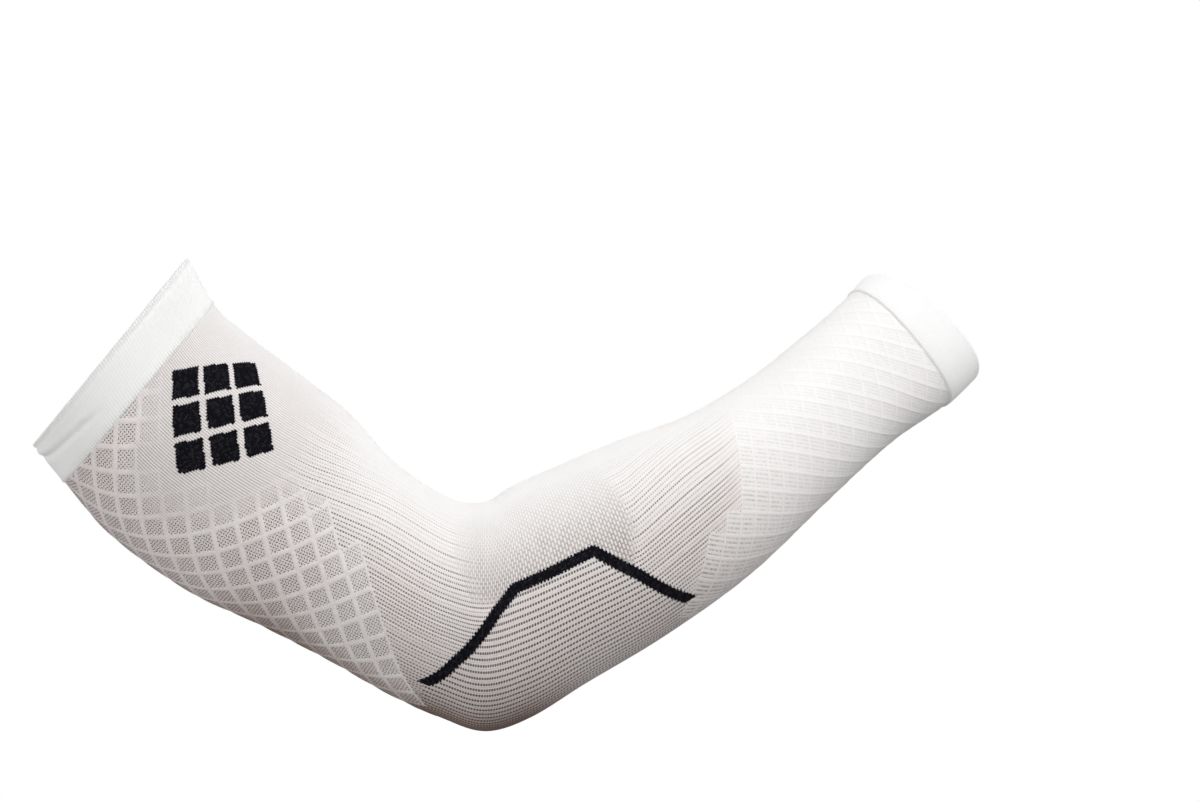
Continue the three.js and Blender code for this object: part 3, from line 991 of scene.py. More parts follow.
    def lace_slots(self, sheet: MaterialSheet, wale: Maths, course: Maths) -> Maths:
        """Open ground between short raised yarns, which are laid like bricks.

        Args:
            sheet: The material.
            wale: The wale.
            course: The course.

        Returns:
            How open the knit is, from 0 to 1 or a little over.
        """
        line = course * self.brick_course
        brick = wale / self.brick_row + line.floor() * 0.5
        open_ground = 1.0 - line.mark(self.brick_across) * brick.mark(self.brick_along)
        return open_ground * sheet.chance(brick.floor(), line.floor()).between(self.brick_power)

    def build(self) -> bpy.types.Material:
        """Builds the finish.

        Returns:
            The material.
        """
        sheet = MaterialSheet("white_knit")
        wale, course = sheet.stitches()
        names = ("lattice", "forearm", "lace", "ribbed", "plain", "cap", "open_and_shade", "turn")
        lattice, forearm, lace, ribbed, plain, cap, open_and_shade, turn = map(sheet.attribute, names)
        rising = (wale + course) / self.diamond
        falling = (wale - course) / self.diamond
        near_rising = (rising + 0.5).from_middle() + forearm * self.rising_off
        near_falling = (falling + 0.5).from_middle() + forearm * self.falling_off
        near = near_rising.low(near_falling)
        fore_row = (wale + turn) / self.fore_row
        row = (wale / self.upper_row) * (1.0 - forearm) + fore_row * forearm
        cell = lattice * near.rise(*self.cell_edge)
        small = self.upper_holes(sheet, wale, course)
        dashes = self.forearm_dashes(sheet, rising, falling)
        holes = (
            (small * (1.0 - forearm) + dashes * forearm) * cell
            + self.cap_rows(sheet, wale, course) * cap
            + self.rib_rows(sheet, row, course) * ribbed
            + self.dots(wale, course) * plain * self.plain_share
            + self.lace_slots(sheet, wale, course) * lace * self.lace_share
        )
        speck = sheet.chance(wale.floor(), course.floor())
        # Painted shade in the gaps at the corners between stitches.
        gap_shade = wale.from_middle() * course.from_middle() * 4.0
        gap_shade = gap_shade * speck.between(self.gap_shade_power) * lattice.between(self.gap_shade_share)
        holes = ((holes + gap_shade) * open_and_shade).low(1.0)
        # The stretched tint follows the openness mark, so it is real stretch and also painted shade
        # that darkens the knit toward the underside.
        stretch = cell * self.stretch_cell + (lace + cap) * self.stretch_elbow
        stretch = (stretch + ribbed * self.stretch_ribs + self.stretch_and_shade_all) * open_and_shade
        patchy = (sheet.cloud(self.cloud_scale, self.cloud_detail) - 0.5) * self.cloud_share
        share = stretch + speck * self.stretch_speck + patchy
        body = sheet.blend(share, self.yarn, self.stretched)
        # Painted shade with the skin's brown, strongest toward the elbow's point on the underside.
        body = sheet.blend((open_and_shade - 1.0) * self.skin_and_shade_gain, body, self.skin_and_shade_side)
        colour = sheet.blend(holes * self.hole_share, body, self.shade)
        band = lattice * near.fall(*self.band_edge) * forearm.between(self.band_height)
        ridge = self.rib_ridge(row) * open_and_shade.between(self.ridge_deep) * ribbed
        ridge = ridge * forearm.between(self.ridge_height)
        loops = (wale * 2.0).from_middle() + course.from_middle()
        height = band - holes * self.hole_share + ridge
        height = height + loops * self.loop_height + speck * self.speck_height
        return sheet.finish(colour, height, self.depth, self.roughness, self.gloss)


@dataclass(frozen=True)
class WhiteWelt:
    """Smooth double-layer knit of the turned hems, ribbed along its two edges."""

    yarn: Colour = (0.985, 0.985, 0.985, 1.0)
    shade: Colour = (0.62, 0.605, 0.595, 1.0)
    depth: float = 0.12 * MM
    roughness: float = 0.8
    gloss: float = 0.25
    dull: float = 0.5
    rib_wale: float = 0.7
    rib_edge: Span = (0.2, 0.5)
    rib_shade: float = 0.35
    speck_shade: float = 0.06
    speck_height: float = 0.2
    row_height: float = 0.4

    def build(self) -> bpy.types.Material:
        """Builds the finish.

        Returns:
            The material.
        """
        sheet = MaterialSheet("white_welt")
        wale, course = sheet.stitches()
        ribs = sheet.attribute("ribs")
        rib = (wale * self.rib_wale).from_middle().rise(*self.rib_edge)
        speck = sheet.chance(wale.floor(), course.floor())
        mark = rib * ribs * self.rib_shade + speck * self.speck_shade
        colour = sheet.blend(mark, self.yarn, self.shade)
        rows = course.from_middle() * self.row_height
        height = (1.0 - rib) * ribs + speck * self.speck_height + rows
        return sheet.finish(colour, height, self.depth, self.roughness, self.gloss, self.dull)


@dataclass(frozen=True)
class BlackKnit:
    """Black yarn knitted into the white, with the odd lighter thread."""

    yarn: Colour = (0.005, 0.005, 0.008, 1.0)
    thread: Colour = (0.035, 0.035, 0.045, 1.0)
    depth: float = 0.25 * MM
    roughness: float = 0.85
    gloss: float = 0.06
    light_chance: Span = (0.45, 1.0)
    leg_edge: Span = (0.1, 0.4)
    leg_slope: Span = (0.0, 0.5)
    leg_height: float = 0.8
    speck_height: float = 0.3

    def build(self) -> bpy.types.Material:
        """Builds the finish.

        Returns:
            The material.
        """
        sheet = MaterialSheet("black_knit")
        wale, course = sheet.stitches()
        speck = sheet.chance(wale.floor(), course.floor())
        leg = (wale + course.from_middle()).from_middle()
        light = speck.rise(*self.light_chance) * leg.fall(*self.leg_edge)
        colour = sheet.blend(light, self.yarn, self.thread)
        height = leg.fall(*self.leg_slope) * self.leg_height + speck * self.speck_height
        return sheet.finish(colour, height, self.depth, self.roughness, self.gloss)


class Slot(Enum):
    """The record's material slots."""

    KNIT = "white_knit"
    WELT = "white_welt"
    BLACK = "black_knit"


@dataclass(frozen=True)
class StitchGrid:
    """A patch or closed band of stitches, one face for each, before it is placed."""

    place: np.ndarray
    angle: np.ndarray
    lift: np.ndarray
    wale: np.ndarray
    course: np.ndarray
    marks: dict[str, np.ndarray]

    def mesh(self, form: ArmForm, name: str) -> bpy.types.Mesh:
        """Makes a flat grid of the right number of faces and moves it onto the arm's form.

        Args:
            form: The arm's form.
            name: The mesh's name.

        Returns:
            The mesh, with its stitches as a UV map and its marks as attributes.
        """
        rows, columns = (count - 1 for count in self.place.shape)
        work = bmesh.new()
        bmesh.ops.create_grid(work, x_segments=rows, y_segments=columns, size=1.0)
        mesh = bpy.data.meshes.new(name)
        work.to_mesh(mesh)
        work.free()
        flat = np.empty(len(mesh.vertices) * 3)
        mesh.vertices.foreach_get("co", flat)
        flat = flat.reshape(-1, 3)
        i = np.rint((flat[:, 0] + 1.0) / 2.0 * rows).astype(int)
        j = np.rint((flat[:, 1] + 1.0) / 2.0 * columns).astype(int)
        points = form.lifted(self.place, self.angle, self.lift)[i, j]
        mesh.vertices.foreach_set("co", points.ravel())
        corners = np.empty(len(mesh.loops), int)
        mesh.loops.foreach_get("vertex_index", corners)
        stitches = np.stack([self.wale[i, j][corners], self.course[i, j][corners]], -1)
        mesh.uv_layers.new(name="stitches")
        mesh.uv_layers["stitches"].data.foreach_set("uv", stitches.ravel())
        for mark, values in self.marks.items():
            layer = mesh.attributes.new(mark, "FLOAT", "POINT")
            layer.data.foreach_set("value", values[i, j].astype(np.float32))
        mesh.polygons.foreach_set("use_smooth", np.ones(len(mesh.polygons), bool))
        return mesh


class Piece:
    """Turns a finished mesh into a piece of the sleeve."""

    @staticmethod
    def add(
        mesh: bpy.types.Mesh, slot: Slot, material: bpy.types.Material, *nodes: str
    ) -> bpy.types.Object:
        """Adds the piece to the scene, on the sleeve's body.

        Args:
            mesh: The finished mesh, whose name the piece takes.
            slot: Not used; the finish comes from the material.
            material: The finish.
            nodes: The solids that the piece stands for.

        Returns:
            The new object.
        """
        mesh.materials.append(material)
        piece = bpy.data.objects.new(mesh.name, mesh)
        bpy.context.scene.collection.objects.link(piece)
        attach(piece, BODY)
        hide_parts(*nodes)
        LOG.info("%s: %d faces", piece.name, len(mesh.polygons))
        return piece

    @staticmethod
    def weld(mesh: bpy.types.Mesh) -> None:
        """Joins a wrapped grid along its seams and turns its faces outwards.

        Args:
            mesh: The mesh, which is changed.
        """
        work = bmesh.new()
        work.from_mesh(mesh)
        bmesh.ops.remove_doubles(work, verts=work.verts, dist=WELD)
        bmesh.ops.recalc_face_normals(work, faces=work.faces)
        work.to_mesh(mesh)
        work.free()

    @staticmethod
    def sharpen(mesh: bpy.types.Mesh, mark: str) -> None:
        """Keeps the shading crisp along edges whose two ends both carry a mark.

        Args:
            mesh: The mesh, which is changed.
            mark: The mark's name.
        """
        marked = np.empty(len(mesh.vertices), np.float32)
        mesh.attributes[mark].data.foreach_get("value", marked)
        ends = np.empty(len(mesh.edges) * 2, int)
        mesh.edges.foreach_get("vertices", ends)
        sharp = (marked[ends] > 0.5).reshape(-1, 2).all(axis=1)
        layer = mesh.attributes.new("sharp_edge", "BOOLEAN", "EDGE")
        layer.data.foreach_set("value", sharp)


@dataclass(frozen=True)
class TubeSkin:
    """One stretch of the knitted tube, with its inner face and its two open ends."""

    knit: KnitMap
    zones: KnitZones
    node: str
    start: float
    end: float
    wall: float = 1.2 * MM
    inner_rows: int = 14
    band_height: float = 0.24 * MM
    rib_height: float = 0.1 * MM
    cell_sink: float = 0.05 * MM
    fore_relief: float = 0.5
    inner_open: float = 0.35

    def relief(self, marks: dict[str, np.ndarray], band: np.ndarray) -> np.ndarray:
        """Raises the lattice's bands and sinks its cells.

        Args:
            marks: The knit of each point.
            band: How far each point is on a band.

        Returns:
            Heights above the form.
        """
        height = band * self.band_height - self.cell_sink
        share = np.where(marks["forearm"] > 0.5, self.fore_relief, marks["open_and_shade"])
        return marks["lattice"] * height * share

    def build(self, material: bpy.types.Material) -> bpy.types.Object:
        """Builds the stretch of tube.

        Args:
            material: Its finish.

        Returns:
            The new object.
        """
        first = self.knit.row(np.array(self.start))
        last = self.knit.row(np.array(self.end))
        outer = np.linspace(first, last, int(round(last - first)) + 1)
        inner = np.linspace(last, first, self.inner_rows)
        row = np.concatenate([outer, inner, outer[:1]])
        face = np.concatenate([np.ones(len(outer)), np.zeros(len(inner)), [1.0]])
        wale = np.arange(self.knit.wales + 1, dtype=float)
        rows, wales = np.meshgrid(row, wale, indexing="ij")
        faces = np.repeat(face[:, None], len(wale), axis=1)
        places = self.knit.place(rows)
        angles = self.knit.angle(wales, places)
        courses = rows + self.knit.slant(places, angles)
        marks = self.marks(wales, courses, places, angles, faces)
        bands = self.zones.bands(wales, courses, places)
        relief = self.relief(marks, bands) * self.zones.inside_edge(places, angles % 360.0)
        ribs = marks["ribbed"] * np.minimum(marks["open_and_shade"], 1.0) * self.knit.ridges(wales, places)
        relief = relief + ribs * self.rib_height
        lift = np.where(faces > 0.5, relief, -self.wall)
        grid = StitchGrid(places, angles, lift, wales, courses, marks)
        mesh = grid.mesh(self.knit.form, "knit_" + self.node)
        Piece.weld(mesh)
        Piece.sharpen(mesh, "rim")
        return Piece.add(mesh, Slot.KNIT, material, self.node)

    def marks(
        self,
        wale: np.ndarray,
        course: np.ndarray,
        place: np.ndarray,
        angle: np.ndarray,
        face: np.ndarray,
    ) -> dict[str, np.ndarray]:
        """Works out which knit each point of the grid is, and how open it is.

        Args:
            wale: Wales of the grid.
            course: Courses of the grid.
            place: Places of the grid.
            angle: Angles of the grid.
            face: 1 on the outer face and 0 on the inner one.

        Returns:
            One array for each attribute that the finish reads.
        """
        angle = angle % 360.0
        lattice = self.zones.lattice(wale, course) * self.zones.soft_edge(place, angle)
        lace = self.zones.lace(place, angle) * (1 - lattice)
        cap = self.zones.cap(place, angle) * (1 - lattice) * (1 - lace)
        rest = (1 - lattice) * (1 - lace) * (1 - cap)
        ribs = ease(*self.zones.rib_start, place)
        # The inner face takes a smaller share of the openness and of its painted shade.
        opened = self.inner_open + (1.0 - self.inner_open) * face
        rim = np.zeros_like(place)
        rim[0] = 1.0
        rim[-1] = 1.0
        rim[int((face[:, 0] > 0.5).sum()) - 2] = 1.0
        return {
            "lattice": lattice,
            "forearm": (place > self.knit.fore_from).astype(float),
            "lace": lace,
            "cap": cap,
            "ribbed": rest * ribs * self.zones.rib_fade(place, angle),
            "plain": rest * (1 - ribs),
            "open_and_shade": self.zones.openness_and_shade(place, angle, lattice) * opened,
            "turn": self.knit.turn(place),
            "rim": rim,
        }


@dataclass(frozen=True)
class Cuff:
    """A turned hem: a double layer with a rounded fold at the rim."""

    knit: KnitMap
    node: str
    seam: float
    rim: float
    step: float
    wall: float = 2.2 * MM
    fold: float = 0.8 * MM
    fold_steps: int = 7
    row: float = 0.5 * MM
    inner_rows: int = 12
    course: float = 0.6 * MM
    lip: float = 1.0 * MM
    rim_edge: float = 1.6 * MM
    ribs: float = 1.0
    plain_ribs: float = 0.37
    band_width: float = 3.0 * MM
    band_height: float = 0.3 * MM
    groove_from_rim: float = 2.6 * MM
    groove_half_width: float = 0.9 * MM
    groove_depth: float = 0.5 * MM
    tucked: bool = False
    tuck_depth: float = 1.3 * MM
    tuck_half_width: float = 1.6 * MM
    tuck_start: Span = (8.0 * MM, 168.0)
    tuck_end: Span = (12.0 * MM, 118.0)
    tuck_fade: float = 14.0
    fold_beside: float = 1.9
    fold_share: float = 0.45

    def reach(self) -> float:
        """Gives the length from the elbow to this hem's rim."""
        return self.knit.form.upper_reach if self.rim < 0 else self.knit.form.fore_reach

    def profile(self) -> tuple[np.ndarray, np.ndarray, np.ndarray]:
        """Works out the hem's closed outline, from the seam over the fold and back inside.

        Returns:
            Lengths from the rim, heights above the knit, and how far along the outline.
        """
        length = abs(self.rim - self.seam) * self.reach()
        count = int(round(length / self.row))
        straight = np.linspace(length, self.fold, count)
        raised = np.exp(-(((length - straight) / self.band_width) ** 4)) * self.band_height
        groove = np.exp(-(((straight - self.groove_from_rim) / self.groove_half_width) ** 2))
        lip = ease(0.0, self.lip, length - straight)
        outer = (self.step + raised) * lip - 0.5 * self.fold * (1 - lip)
        outer = outer - groove * self.groove_depth
        turn = np.linspace(0.0, math.pi, self.fold_steps + 2)[1:-1]
        mid = self.step - self.wall / 2
        bend_from = self.fold * (1 - np.sin(turn))
        bend_lift = mid + np.cos(turn) * self.wall / 2
        back = np.linspace(self.fold, length, self.inner_rows)
        inner = np.full(len(back), self.step - self.wall)
        from_rim = np.concatenate([straight, bend_from, back])
        lift = np.concatenate([outer, bend_lift, inner])
        steps = np.hypot(np.diff(from_rim), np.diff(lift))
        return from_rim, lift, np.concatenate([[0.0], np.cumsum(steps)])

    def tuck(self, from_rim: np.ndarray, angle: np.ndarray) -> np.ndarray:
        """Sinks the slanting tuck near the lower edge, with a small fold above it.

        Args:
            from_rim: Lengths from the rim.
            angle: Angles round the sleeve.

        Returns:
            Changes of height.
        """
        start, end = self.tuck_start, self.tuck_end
        share = (angle - start[1]) / (end[1] - start[1])
        line = start[0] + (end[0] - start[0]) * share
        away = (from_rim - line) / self.tuck_half_width
        fold = self.fold_share * np.exp(-((away + self.fold_beside) ** 2))
        valley = fold - np.exp(-(away**2))
        beyond = np.maximum(np.maximum(angle - start[1], end[1] - angle), 0.0)
        return self.tuck_depth * valley * np.clip(1 - beyond / self.tuck_fade, 0.0, 1.0)

    def build(self, material: bpy.types.Material) -> bpy.types.Object:
        """Builds the hem.

        Args:
            material: Its finish.

        Returns:
            The new object.
        """
        from_rim, lift, run = self.profile()
        wale = np.arange(self.knit.wales + 1, dtype=float)
        (froms, wales), (lifts, _), (runs, _) = (
            np.meshgrid(np.append(values, values[0]), wale, indexing="ij")
            for values in (from_rim, lift, run)
        )
        places = self.rim - math.copysign(1.0, self.rim) * froms / self.reach()
        angles = self.knit.angle(wales, places)
        outside = lifts > self.step - self.wall / 2
        if self.tucked:
            lifts = lifts + self.tuck(froms, angles) * outside
        at_rim = np.exp(-((froms / self.rim_edge) ** 2))
        at_seam = np.exp(-(((froms.max() - froms) / self.band_width) ** 4))
        edge = np.maximum(at_rim, at_seam) * outside
        marks = {"ribs": (self.plain_ribs + edge) * self.ribs}
        grid = StitchGrid(places, angles, lifts, wales, runs / self.course, marks)
        mesh = grid.mesh(self.knit.form, "knit_" + self.node)
        Piece.weld(mesh)
        return Piece.add(mesh, Slot.WELT, material, self.node)


class Shape:
    """A shape on the sleeve that says which stitches it holds."""

    def holds(self, place: np.ndarray, angle: np.ndarray) -> np.ndarray:
        """Says which of the stitches, given by their middles, are in the shape."""
        raise NotImplementedError


@dataclass(frozen=True)
class InlayPatch:
    """A patch of black stitches that follows the knit's own wales and courses."""

    knit: KnitMap
    height: float = 0.18 * MM
    thickness: float = 0.6 * MM
    fineness: int = 3

    def build(
        self,
        name: str,
        node: str,
        wales: Span,
        rows: Span,
        keep: Shape,
        material: bpy.types.Material,
    ) -> bpy.types.Object:
        """Builds one patch from the parts of stitches that lie in a shape.

        Args:
            name: The piece's name.
            node: The solid that it stands for.
            wales: First and last wale that the shape can reach.
            rows: First and last course that the shape can reach.
            keep: The shape.
            material: Its finish.

        Returns:
            The new object.
        """
        row_grid, wale_grid = np.meshgrid(self.steps(*rows), self.steps(*wales), indexing="ij")
        places = self.knit.place(row_grid)
        angles = self.knit.angle(wale_grid, places)
        lift = np.full(places.shape, self.height)
        grid = StitchGrid(places, angles, lift, wale_grid, row_grid, {})
        mesh = grid.mesh(self.knit.form, name)
        self.trim(mesh, keep)
        return Piece.add(mesh, Slot.BLACK, material, node)

    def steps(self, first: float, last: float) -> np.ndarray:
        """Gives fine steps between two whole numbers of stitches."""
        low, high = math.floor(first), math.ceil(last)
        return np.linspace(low, high, (high - low) * self.fineness + 1)

    def trim(self, mesh: bpy.types.Mesh, keep: Shape) -> None:
        """Takes out what lies outside the shape and gives the rest its thickness.

        Args:
            mesh: The patch.
            keep: The shape.
        """
        corners = np.empty(len(mesh.loops) * 2)
        mesh.uv_layers["stitches"].data.foreach_get("uv", corners)
        wale, row = corners.reshape(-1, 4, 2).mean(axis=1).T
        place = self.knit.place(row)
        kept = keep.holds(place, self.knit.angle(wale, place))
        work = bmesh.new()
        work.from_mesh(mesh)
        spare = [face for face, stays in zip(work.faces, kept) if not stays]
        bmesh.ops.delete(work, geom=spare, context="FACES")
        bmesh.ops.recalc_face_normals(work, faces=work.faces)
        bmesh.ops.solidify(work, geom=work.faces[:], thickness=self.thickness)
        work.to_mesh(mesh)
        work.free()


@dataclass(frozen=True)
class Ribbon(Shape):
    """A ribbon of stitches along a line of places and angles."""

    knit: KnitMap
    line: Curve
    width: float = 4.8 * MM
    tooth: float = 0.28 * MM
    run_out: float = 6.0
    close: int = 6

    def route(self) -> tuple[np.ndarray, np.ndarray]:
        """Gives close points along the ribbon's middle, which runs out past its two ends.

        Returns:
            Their places and their angles.
        """
        table = np.array(self.line, float)
        ends = []
        for end, inside in ((table[0], table[1]), (table[-1], table[-2])):
            ends.append(end + (end - inside) * self.run_out / abs(end[1] - inside[1]))
        table = np.vstack([ends[0], table, ends[1]])
        share = np.linspace(0.0, len(table) - 1, self.close * (len(table) - 1) + 1)
        index = np.arange(len(table))
        return np.interp(share, index, table[:, 0]), np.interp(share, index, table[:, 1])

    def holds(self, place: np.ndarray, angle: np.ndarray) -> np.ndarray:
        """Says which stitches lie within half a width of the line, with the ends cut on a wale.

        Args:
            place: Places along the sleeve.
            angle: Angles round it, of the same shape.

        Returns:
            Which stitches are in the ribbon.
        """
        points = self.knit.form.surface(place, angle)
        route = self.knit.form.surface(*self.route())
        away = np.full(len(points), np.inf)
        for start, end in zip(route[:-1], route[1:]):
            step = end - start
            share = np.clip((points - start) @ step / (step @ step), 0.0, 1.0)
            gap = np.linalg.norm(points - start - share[:, None] * step, axis=1)
            away = np.minimum(away, gap)
        tooth = np.where(np.floor(self.knit.row(place)) % 2 > 0, self.tooth, -self.tooth)
        (first_place, first_angle), (last_place, last_angle) = self.line[0], self.line[-1]
        limit = np.interp(place, (first_place, last_place), (first_angle, last_angle))
        side = math.copysign(1.0, self.line[0][1] - self.line[1][1])
        return (away < self.width / 2 + tooth) & (side * (limit - angle) > 0.0)


@dataclass(frozen=True)
class Lozenge(Shape):
    """One diamond of the motif."""

    knit: KnitMap
    place: float
    angle: float
    half_along: float
    half_round: float

    def scale(self) -> float:
        """Gives metres of the face for one degree round it.

        Returns:
            The length in metres.
        """
        at = np.array([self.place, self.place])
        pair = self.knit.form.surface(at, np.array([self.angle, self.angle + 1.0]))
        return float(np.linalg.norm(pair[1] - pair[0]))

    def holds(self, place: np.ndarray, angle: np.ndarray) -> np.ndarray:
        """Says which stitches lie in the diamond, whose edge steps from stitch to stitch.

        Args:
            place: Places along the sleeve.
            angle: Angles round it, of the same shape.

        Returns:
            Which stitches are in the diamond.
        """
        row = np.floor(self.knit.row(place)) + 0.5
        step = 360.0 / self.knit.wales
        whole = (np.floor((angle - self.knit.first_angle) / step) + 0.5) * step
        along = np.abs(self.knit.place(row) - self.place) * self.knit.form.upper_reach
        around = np.abs(whole + self.knit.first_angle - self.angle) * self.scale()
        return along / self.half_along + around / self.half_round < 1.0


@dataclass(frozen=True)
class ElbowStripes:
    """The black angular stripe on each side of the elbow."""

    knit: KnitMap
    zones: KnitZones
    wales_before: float = 12.0
    wales_after: float = 26.0
    spare_rows: float = 6.0

    def build(self, material: bpy.types.Material) -> None:
        """Builds the stripe of each side.

        Args:
            material: Their finish.
        """
        patch = InlayPatch(self.knit)
        for side, line in (("near", self.zones.stripe_near), ("far", self.zones.stripe_far)):
            ribbon = Ribbon(self.knit, line)
            places, angles = ribbon.route()
            rows = self.knit.row(places)
            wales = angles * self.knit.wales / 360.0
            patch.build(
                "stripe_" + side,
                "elbow_stripe_" + side,
                (wales.min() - self.wales_before, wales.max() + self.wales_after),
                (rows.min() - self.spare_rows, rows.max() + self.spare_rows),
                ribbon,
                material,
            )


@dataclass(frozen=True)
class Motif:
    """A plain lozenge of nine black diamonds on the upper arm."""

    knit: KnitMap
    middle_from_elbow: float = 152.0 * MM
    angle: float = 66.0
    pitch_along: float = 22.0 * MM
    pitch_round: float = 23.0 * MM
    border: float = 3.0 * MM
    steps: tuple[int, ...] = (-1, 0, 1)
    half_stitches: float = 16.0

    def build(self, material: bpy.types.Material) -> None:
        """Builds the nine diamonds.

        Args:
            material: Their finish.
        """
        patch = InlayPatch(self.knit)
        side = math.hypot(self.pitch_along, self.pitch_round) / 2
        inradius = self.pitch_along * self.pitch_round / (4 * side)
        share = 1 - self.border / (2 * inradius)
        spots = ((column, row) for column in self.steps for row in self.steps)
        for number, (column, row) in enumerate(spots, 1):
            shape = self.lozenge(column, row, share)
            course = float(self.knit.row(np.array(shape.place)))
            wale = (shape.angle - self.knit.first_angle) * self.knit.wales / 360.0
            patch.build(
                f"motif_stitches_{number}",
                f"motif_diamond_{number}",
                (wale - self.half_stitches, wale + self.half_stitches),
                (course - self.half_stitches, course + self.half_stitches),
                shape,
                material,
            )

    def lozenge(self, column: int, row: int, share: float) -> Lozenge:
        """Places one diamond.

        Args:
            column: Its column in the lozenge.
            row: Its row in the lozenge.
            share: How much of the pitch the diamond fills.

        Returns:
            The diamond.
        """
        along = self.middle_from_elbow - (column + row) / 2 * self.pitch_along
        place = self.knit.form.upper_place(along)
        centre = Lozenge(self.knit, place, self.angle, 1.0, 1.0)
        around = (column - row) / 2 * self.pitch_round
        return Lozenge(
            self.knit,
            place,
            self.angle + around / centre.scale(),
            share * self.pitch_along / 2,
            share * self.pitch_round / 2,
        )


@dataclass(frozen=True)
class Sleeve:
    """The whole sleeve: three stretches of tube, two hems, two stripes and the motif."""

    form: ArmForm = ArmForm()
    bicep_cuff: float = 22.0 * MM
    wrist_cuff: float = 14.0 * MM
    elbow_above: float = 38.0 * MM
    elbow_below: float = 104.0 * MM
    under_hem: float = 1.5 * MM
    bicep_step: float = 0.4 * MM
    wrist_step: float = 0.8 * MM
    wrist_ribs: float = 0.45

    def build(self) -> None:
        """Builds every piece in order."""
        knit = KnitMap(self.form)
        zones = KnitZones(knit)
        white = WhiteKnit().build()
        welt = WhiteWelt().build()
        black = BlackKnit().build()
        bicep_seam = self.form.upper_place(self.form.upper_reach - self.bicep_cuff)
        wrist_seam = self.form.fore_place(self.form.fore_reach - self.wrist_cuff)
        top = bicep_seam - self.under_hem / self.form.upper_reach
        bottom = wrist_seam + self.under_hem / self.form.fore_reach
        elbow_top = self.form.upper_place(self.elbow_above)
        elbow_end = self.form.fore_place(self.elbow_below)
        stretches = (
            ("upper_arm_tube", top, elbow_top),
            ("elbow_tube", elbow_top, elbow_end),
            ("forearm_tube", elbow_end, bottom),
        )
        for node, start, end in stretches:
            TubeSkin(knit, zones, node, start, end).build(white)
        Cuff(knit, "bicep_cuff", bicep_seam, -1.0, self.bicep_step, tucked=True).build(welt)
        wrist = Cuff(
            knit, "wrist_cuff", wrist_seam, 1.0, self.wrist_step,
            ribs=self.wrist_ribs, band_height=0.0, groove_depth=0.0,
        )
        wrist.build(welt)
        ElbowStripes(knit, zones).build(black)
        Motif(knit).build(black)


@dataclass(frozen=True)
class Lamp:
    """One soft square lamp that faces the sleeve.

    The way toward it starts at the camera's aim, and its power is in watts.
    """

    name: str
    toward: tuple[float, float, float]
    power: float
    side: float = 1.2

    def build(self, aim: Vector) -> None:
        """Adds the lamp.

        Args:
            aim: The point that it faces.
        """
        light = bpy.data.lights.new(self.name, "AREA")
        light.shape = "SQUARE"
        light.size = self.side
        light.energy = self.power
        lamp = bpy.data.objects.new(self.name, light)
        offset = Vector(self.toward)
        lamp.location = aim + offset
        lamp.rotation_euler = offset.to_track_quat("Z", "Y").to_euler()
        bpy.context.scene.collection.objects.link(lamp)


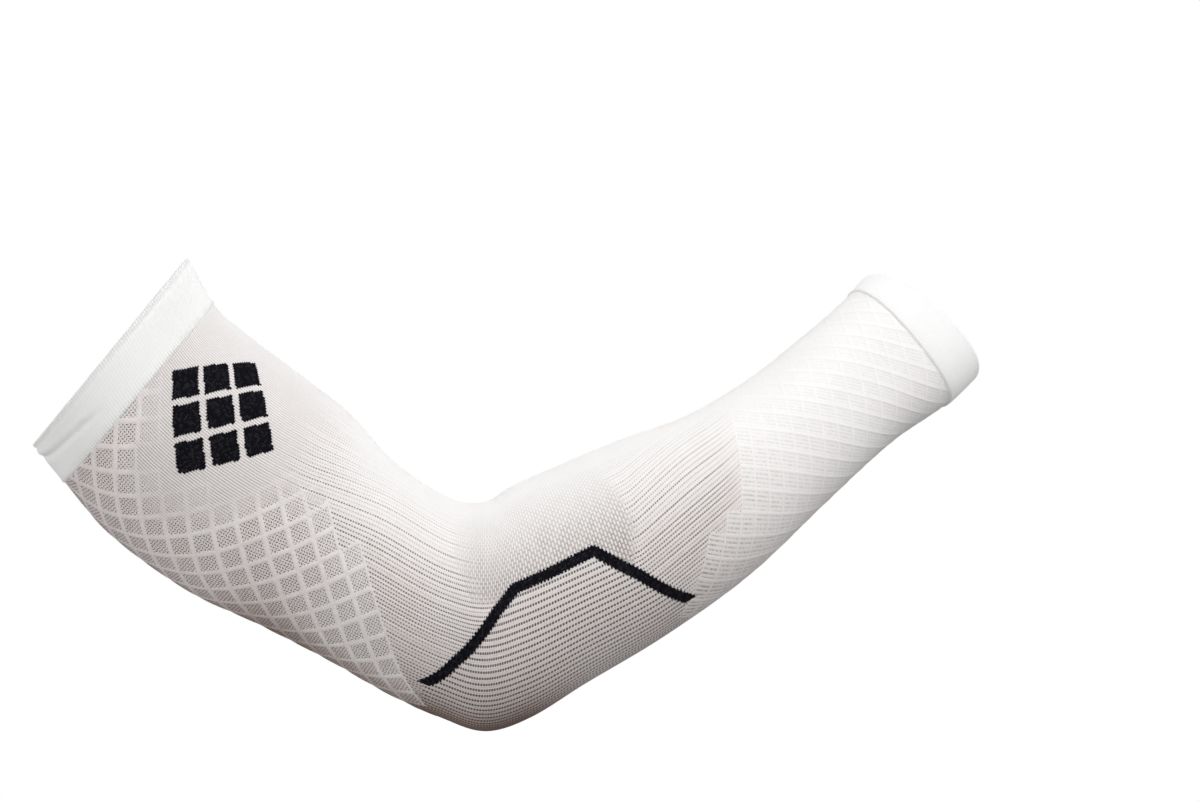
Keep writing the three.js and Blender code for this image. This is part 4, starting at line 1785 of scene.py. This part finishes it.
@dataclass(frozen=True)
class Studio:
    """White floor and backdrop, soft lights, and the camera of the picture."""

    photo_width: float = 1200.0
    photo_scale: float = 0.44 * MM
    sensor: float = 36.0
    distance: float = 1.6
    aim: tuple[float, float, float] = (0.0497, 0.0, 0.1054)
    floor_height: float = -0.4
    floor_size: float = 24.0
    backdrop_radius: float = 11.0
    world_colour: Colour = (1.0, 0.985, 0.97, 1.0)
    world_light: float = 0.22
    far_clip: float = 100.0
    lamps: tuple[Lamp, ...] = (
        Lamp("key", (0.87, -0.73, 1.13), 19.5),
        Lamp("fill", (-1.22, -1.02, -0.14), 11.0),
        Lamp("front", (1.22, -1.0, -0.45), 5.6),
        Lamp("top", (0.0, -0.28, 1.58), 4.0),
        Lamp("back", (-0.75, 1.15, 0.85), 9.0),
    )

    def camera(self) -> None:
        """Sets the camera of the photograph."""
        lens = bpy.data.cameras.new("camera")
        lens.sensor_fit = "HORIZONTAL"
        lens.sensor_width = self.sensor
        lens.lens = self.sensor * self.distance / (self.photo_width * self.photo_scale)
        lens.clip_end = self.far_clip
        camera = bpy.data.objects.new("camera", lens)
        camera.location = (self.aim[0], self.aim[1] - self.distance, self.aim[2])
        camera.rotation_euler = (math.pi / 2, 0.0, 0.0)
        bpy.context.scene.collection.objects.link(camera)
        bpy.context.scene.camera = camera

    def white(self) -> bpy.types.Material:
        """Makes the even white of the floor and the backdrop.

        Returns:
            The material.
        """
        sheet = MaterialSheet("studio_white")
        glow = sheet.add("ShaderNodeEmission", {}, {"Color": (1.0, 1.0, 1.0, 1.0), "Strength": 1.0})
        sheet.add("ShaderNodeOutputMaterial", {}, {0: glow.outputs[0]})
        return sheet.material

    def stage(self) -> None:
        """Makes the floor and the backdrop, which throw no light on the sleeve."""
        white = self.white()
        for name in ("floor", "backdrop"):
            work = bmesh.new()
            if name == "floor":
                half = self.floor_size / 2
                bmesh.ops.create_grid(work, x_segments=4, y_segments=4, size=half)
                bmesh.ops.translate(work, verts=work.verts, vec=(0.0, 0.0, self.floor_height))
            else:
                bmesh.ops.create_icosphere(work, subdivisions=3, radius=self.backdrop_radius)
            mesh = bpy.data.meshes.new(name)
            work.to_mesh(mesh)
            work.free()
            mesh.materials.append(white)
            piece = bpy.data.objects.new(name, mesh)
            piece.visible_diffuse = False
            piece.visible_glossy = False
            piece.visible_transmission = False
            piece.visible_shadow = False
            bpy.context.scene.collection.objects.link(piece)

    def build(self) -> None:
        """Builds the studio."""
        self.camera()
        self.stage()
        world = bpy.data.worlds.new("studio")
        world.use_nodes = True
        ground = world.node_tree.nodes["Background"]
        ground.inputs["Color"].default_value = self.world_colour
        ground.inputs["Strength"].default_value = self.world_light
        bpy.context.scene.world = world
        bpy.context.scene.view_settings.view_transform = "Standard"
        for lamp in self.lamps:
            lamp.build(Vector(self.aim))


def main() -> None:
    """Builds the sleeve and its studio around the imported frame."""
    logging.basicConfig(level=logging.INFO, format="%(name)s: %(message)s")
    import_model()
    Sleeve().build()
    Studio().build()


if __name__ == "__main__":
    main()
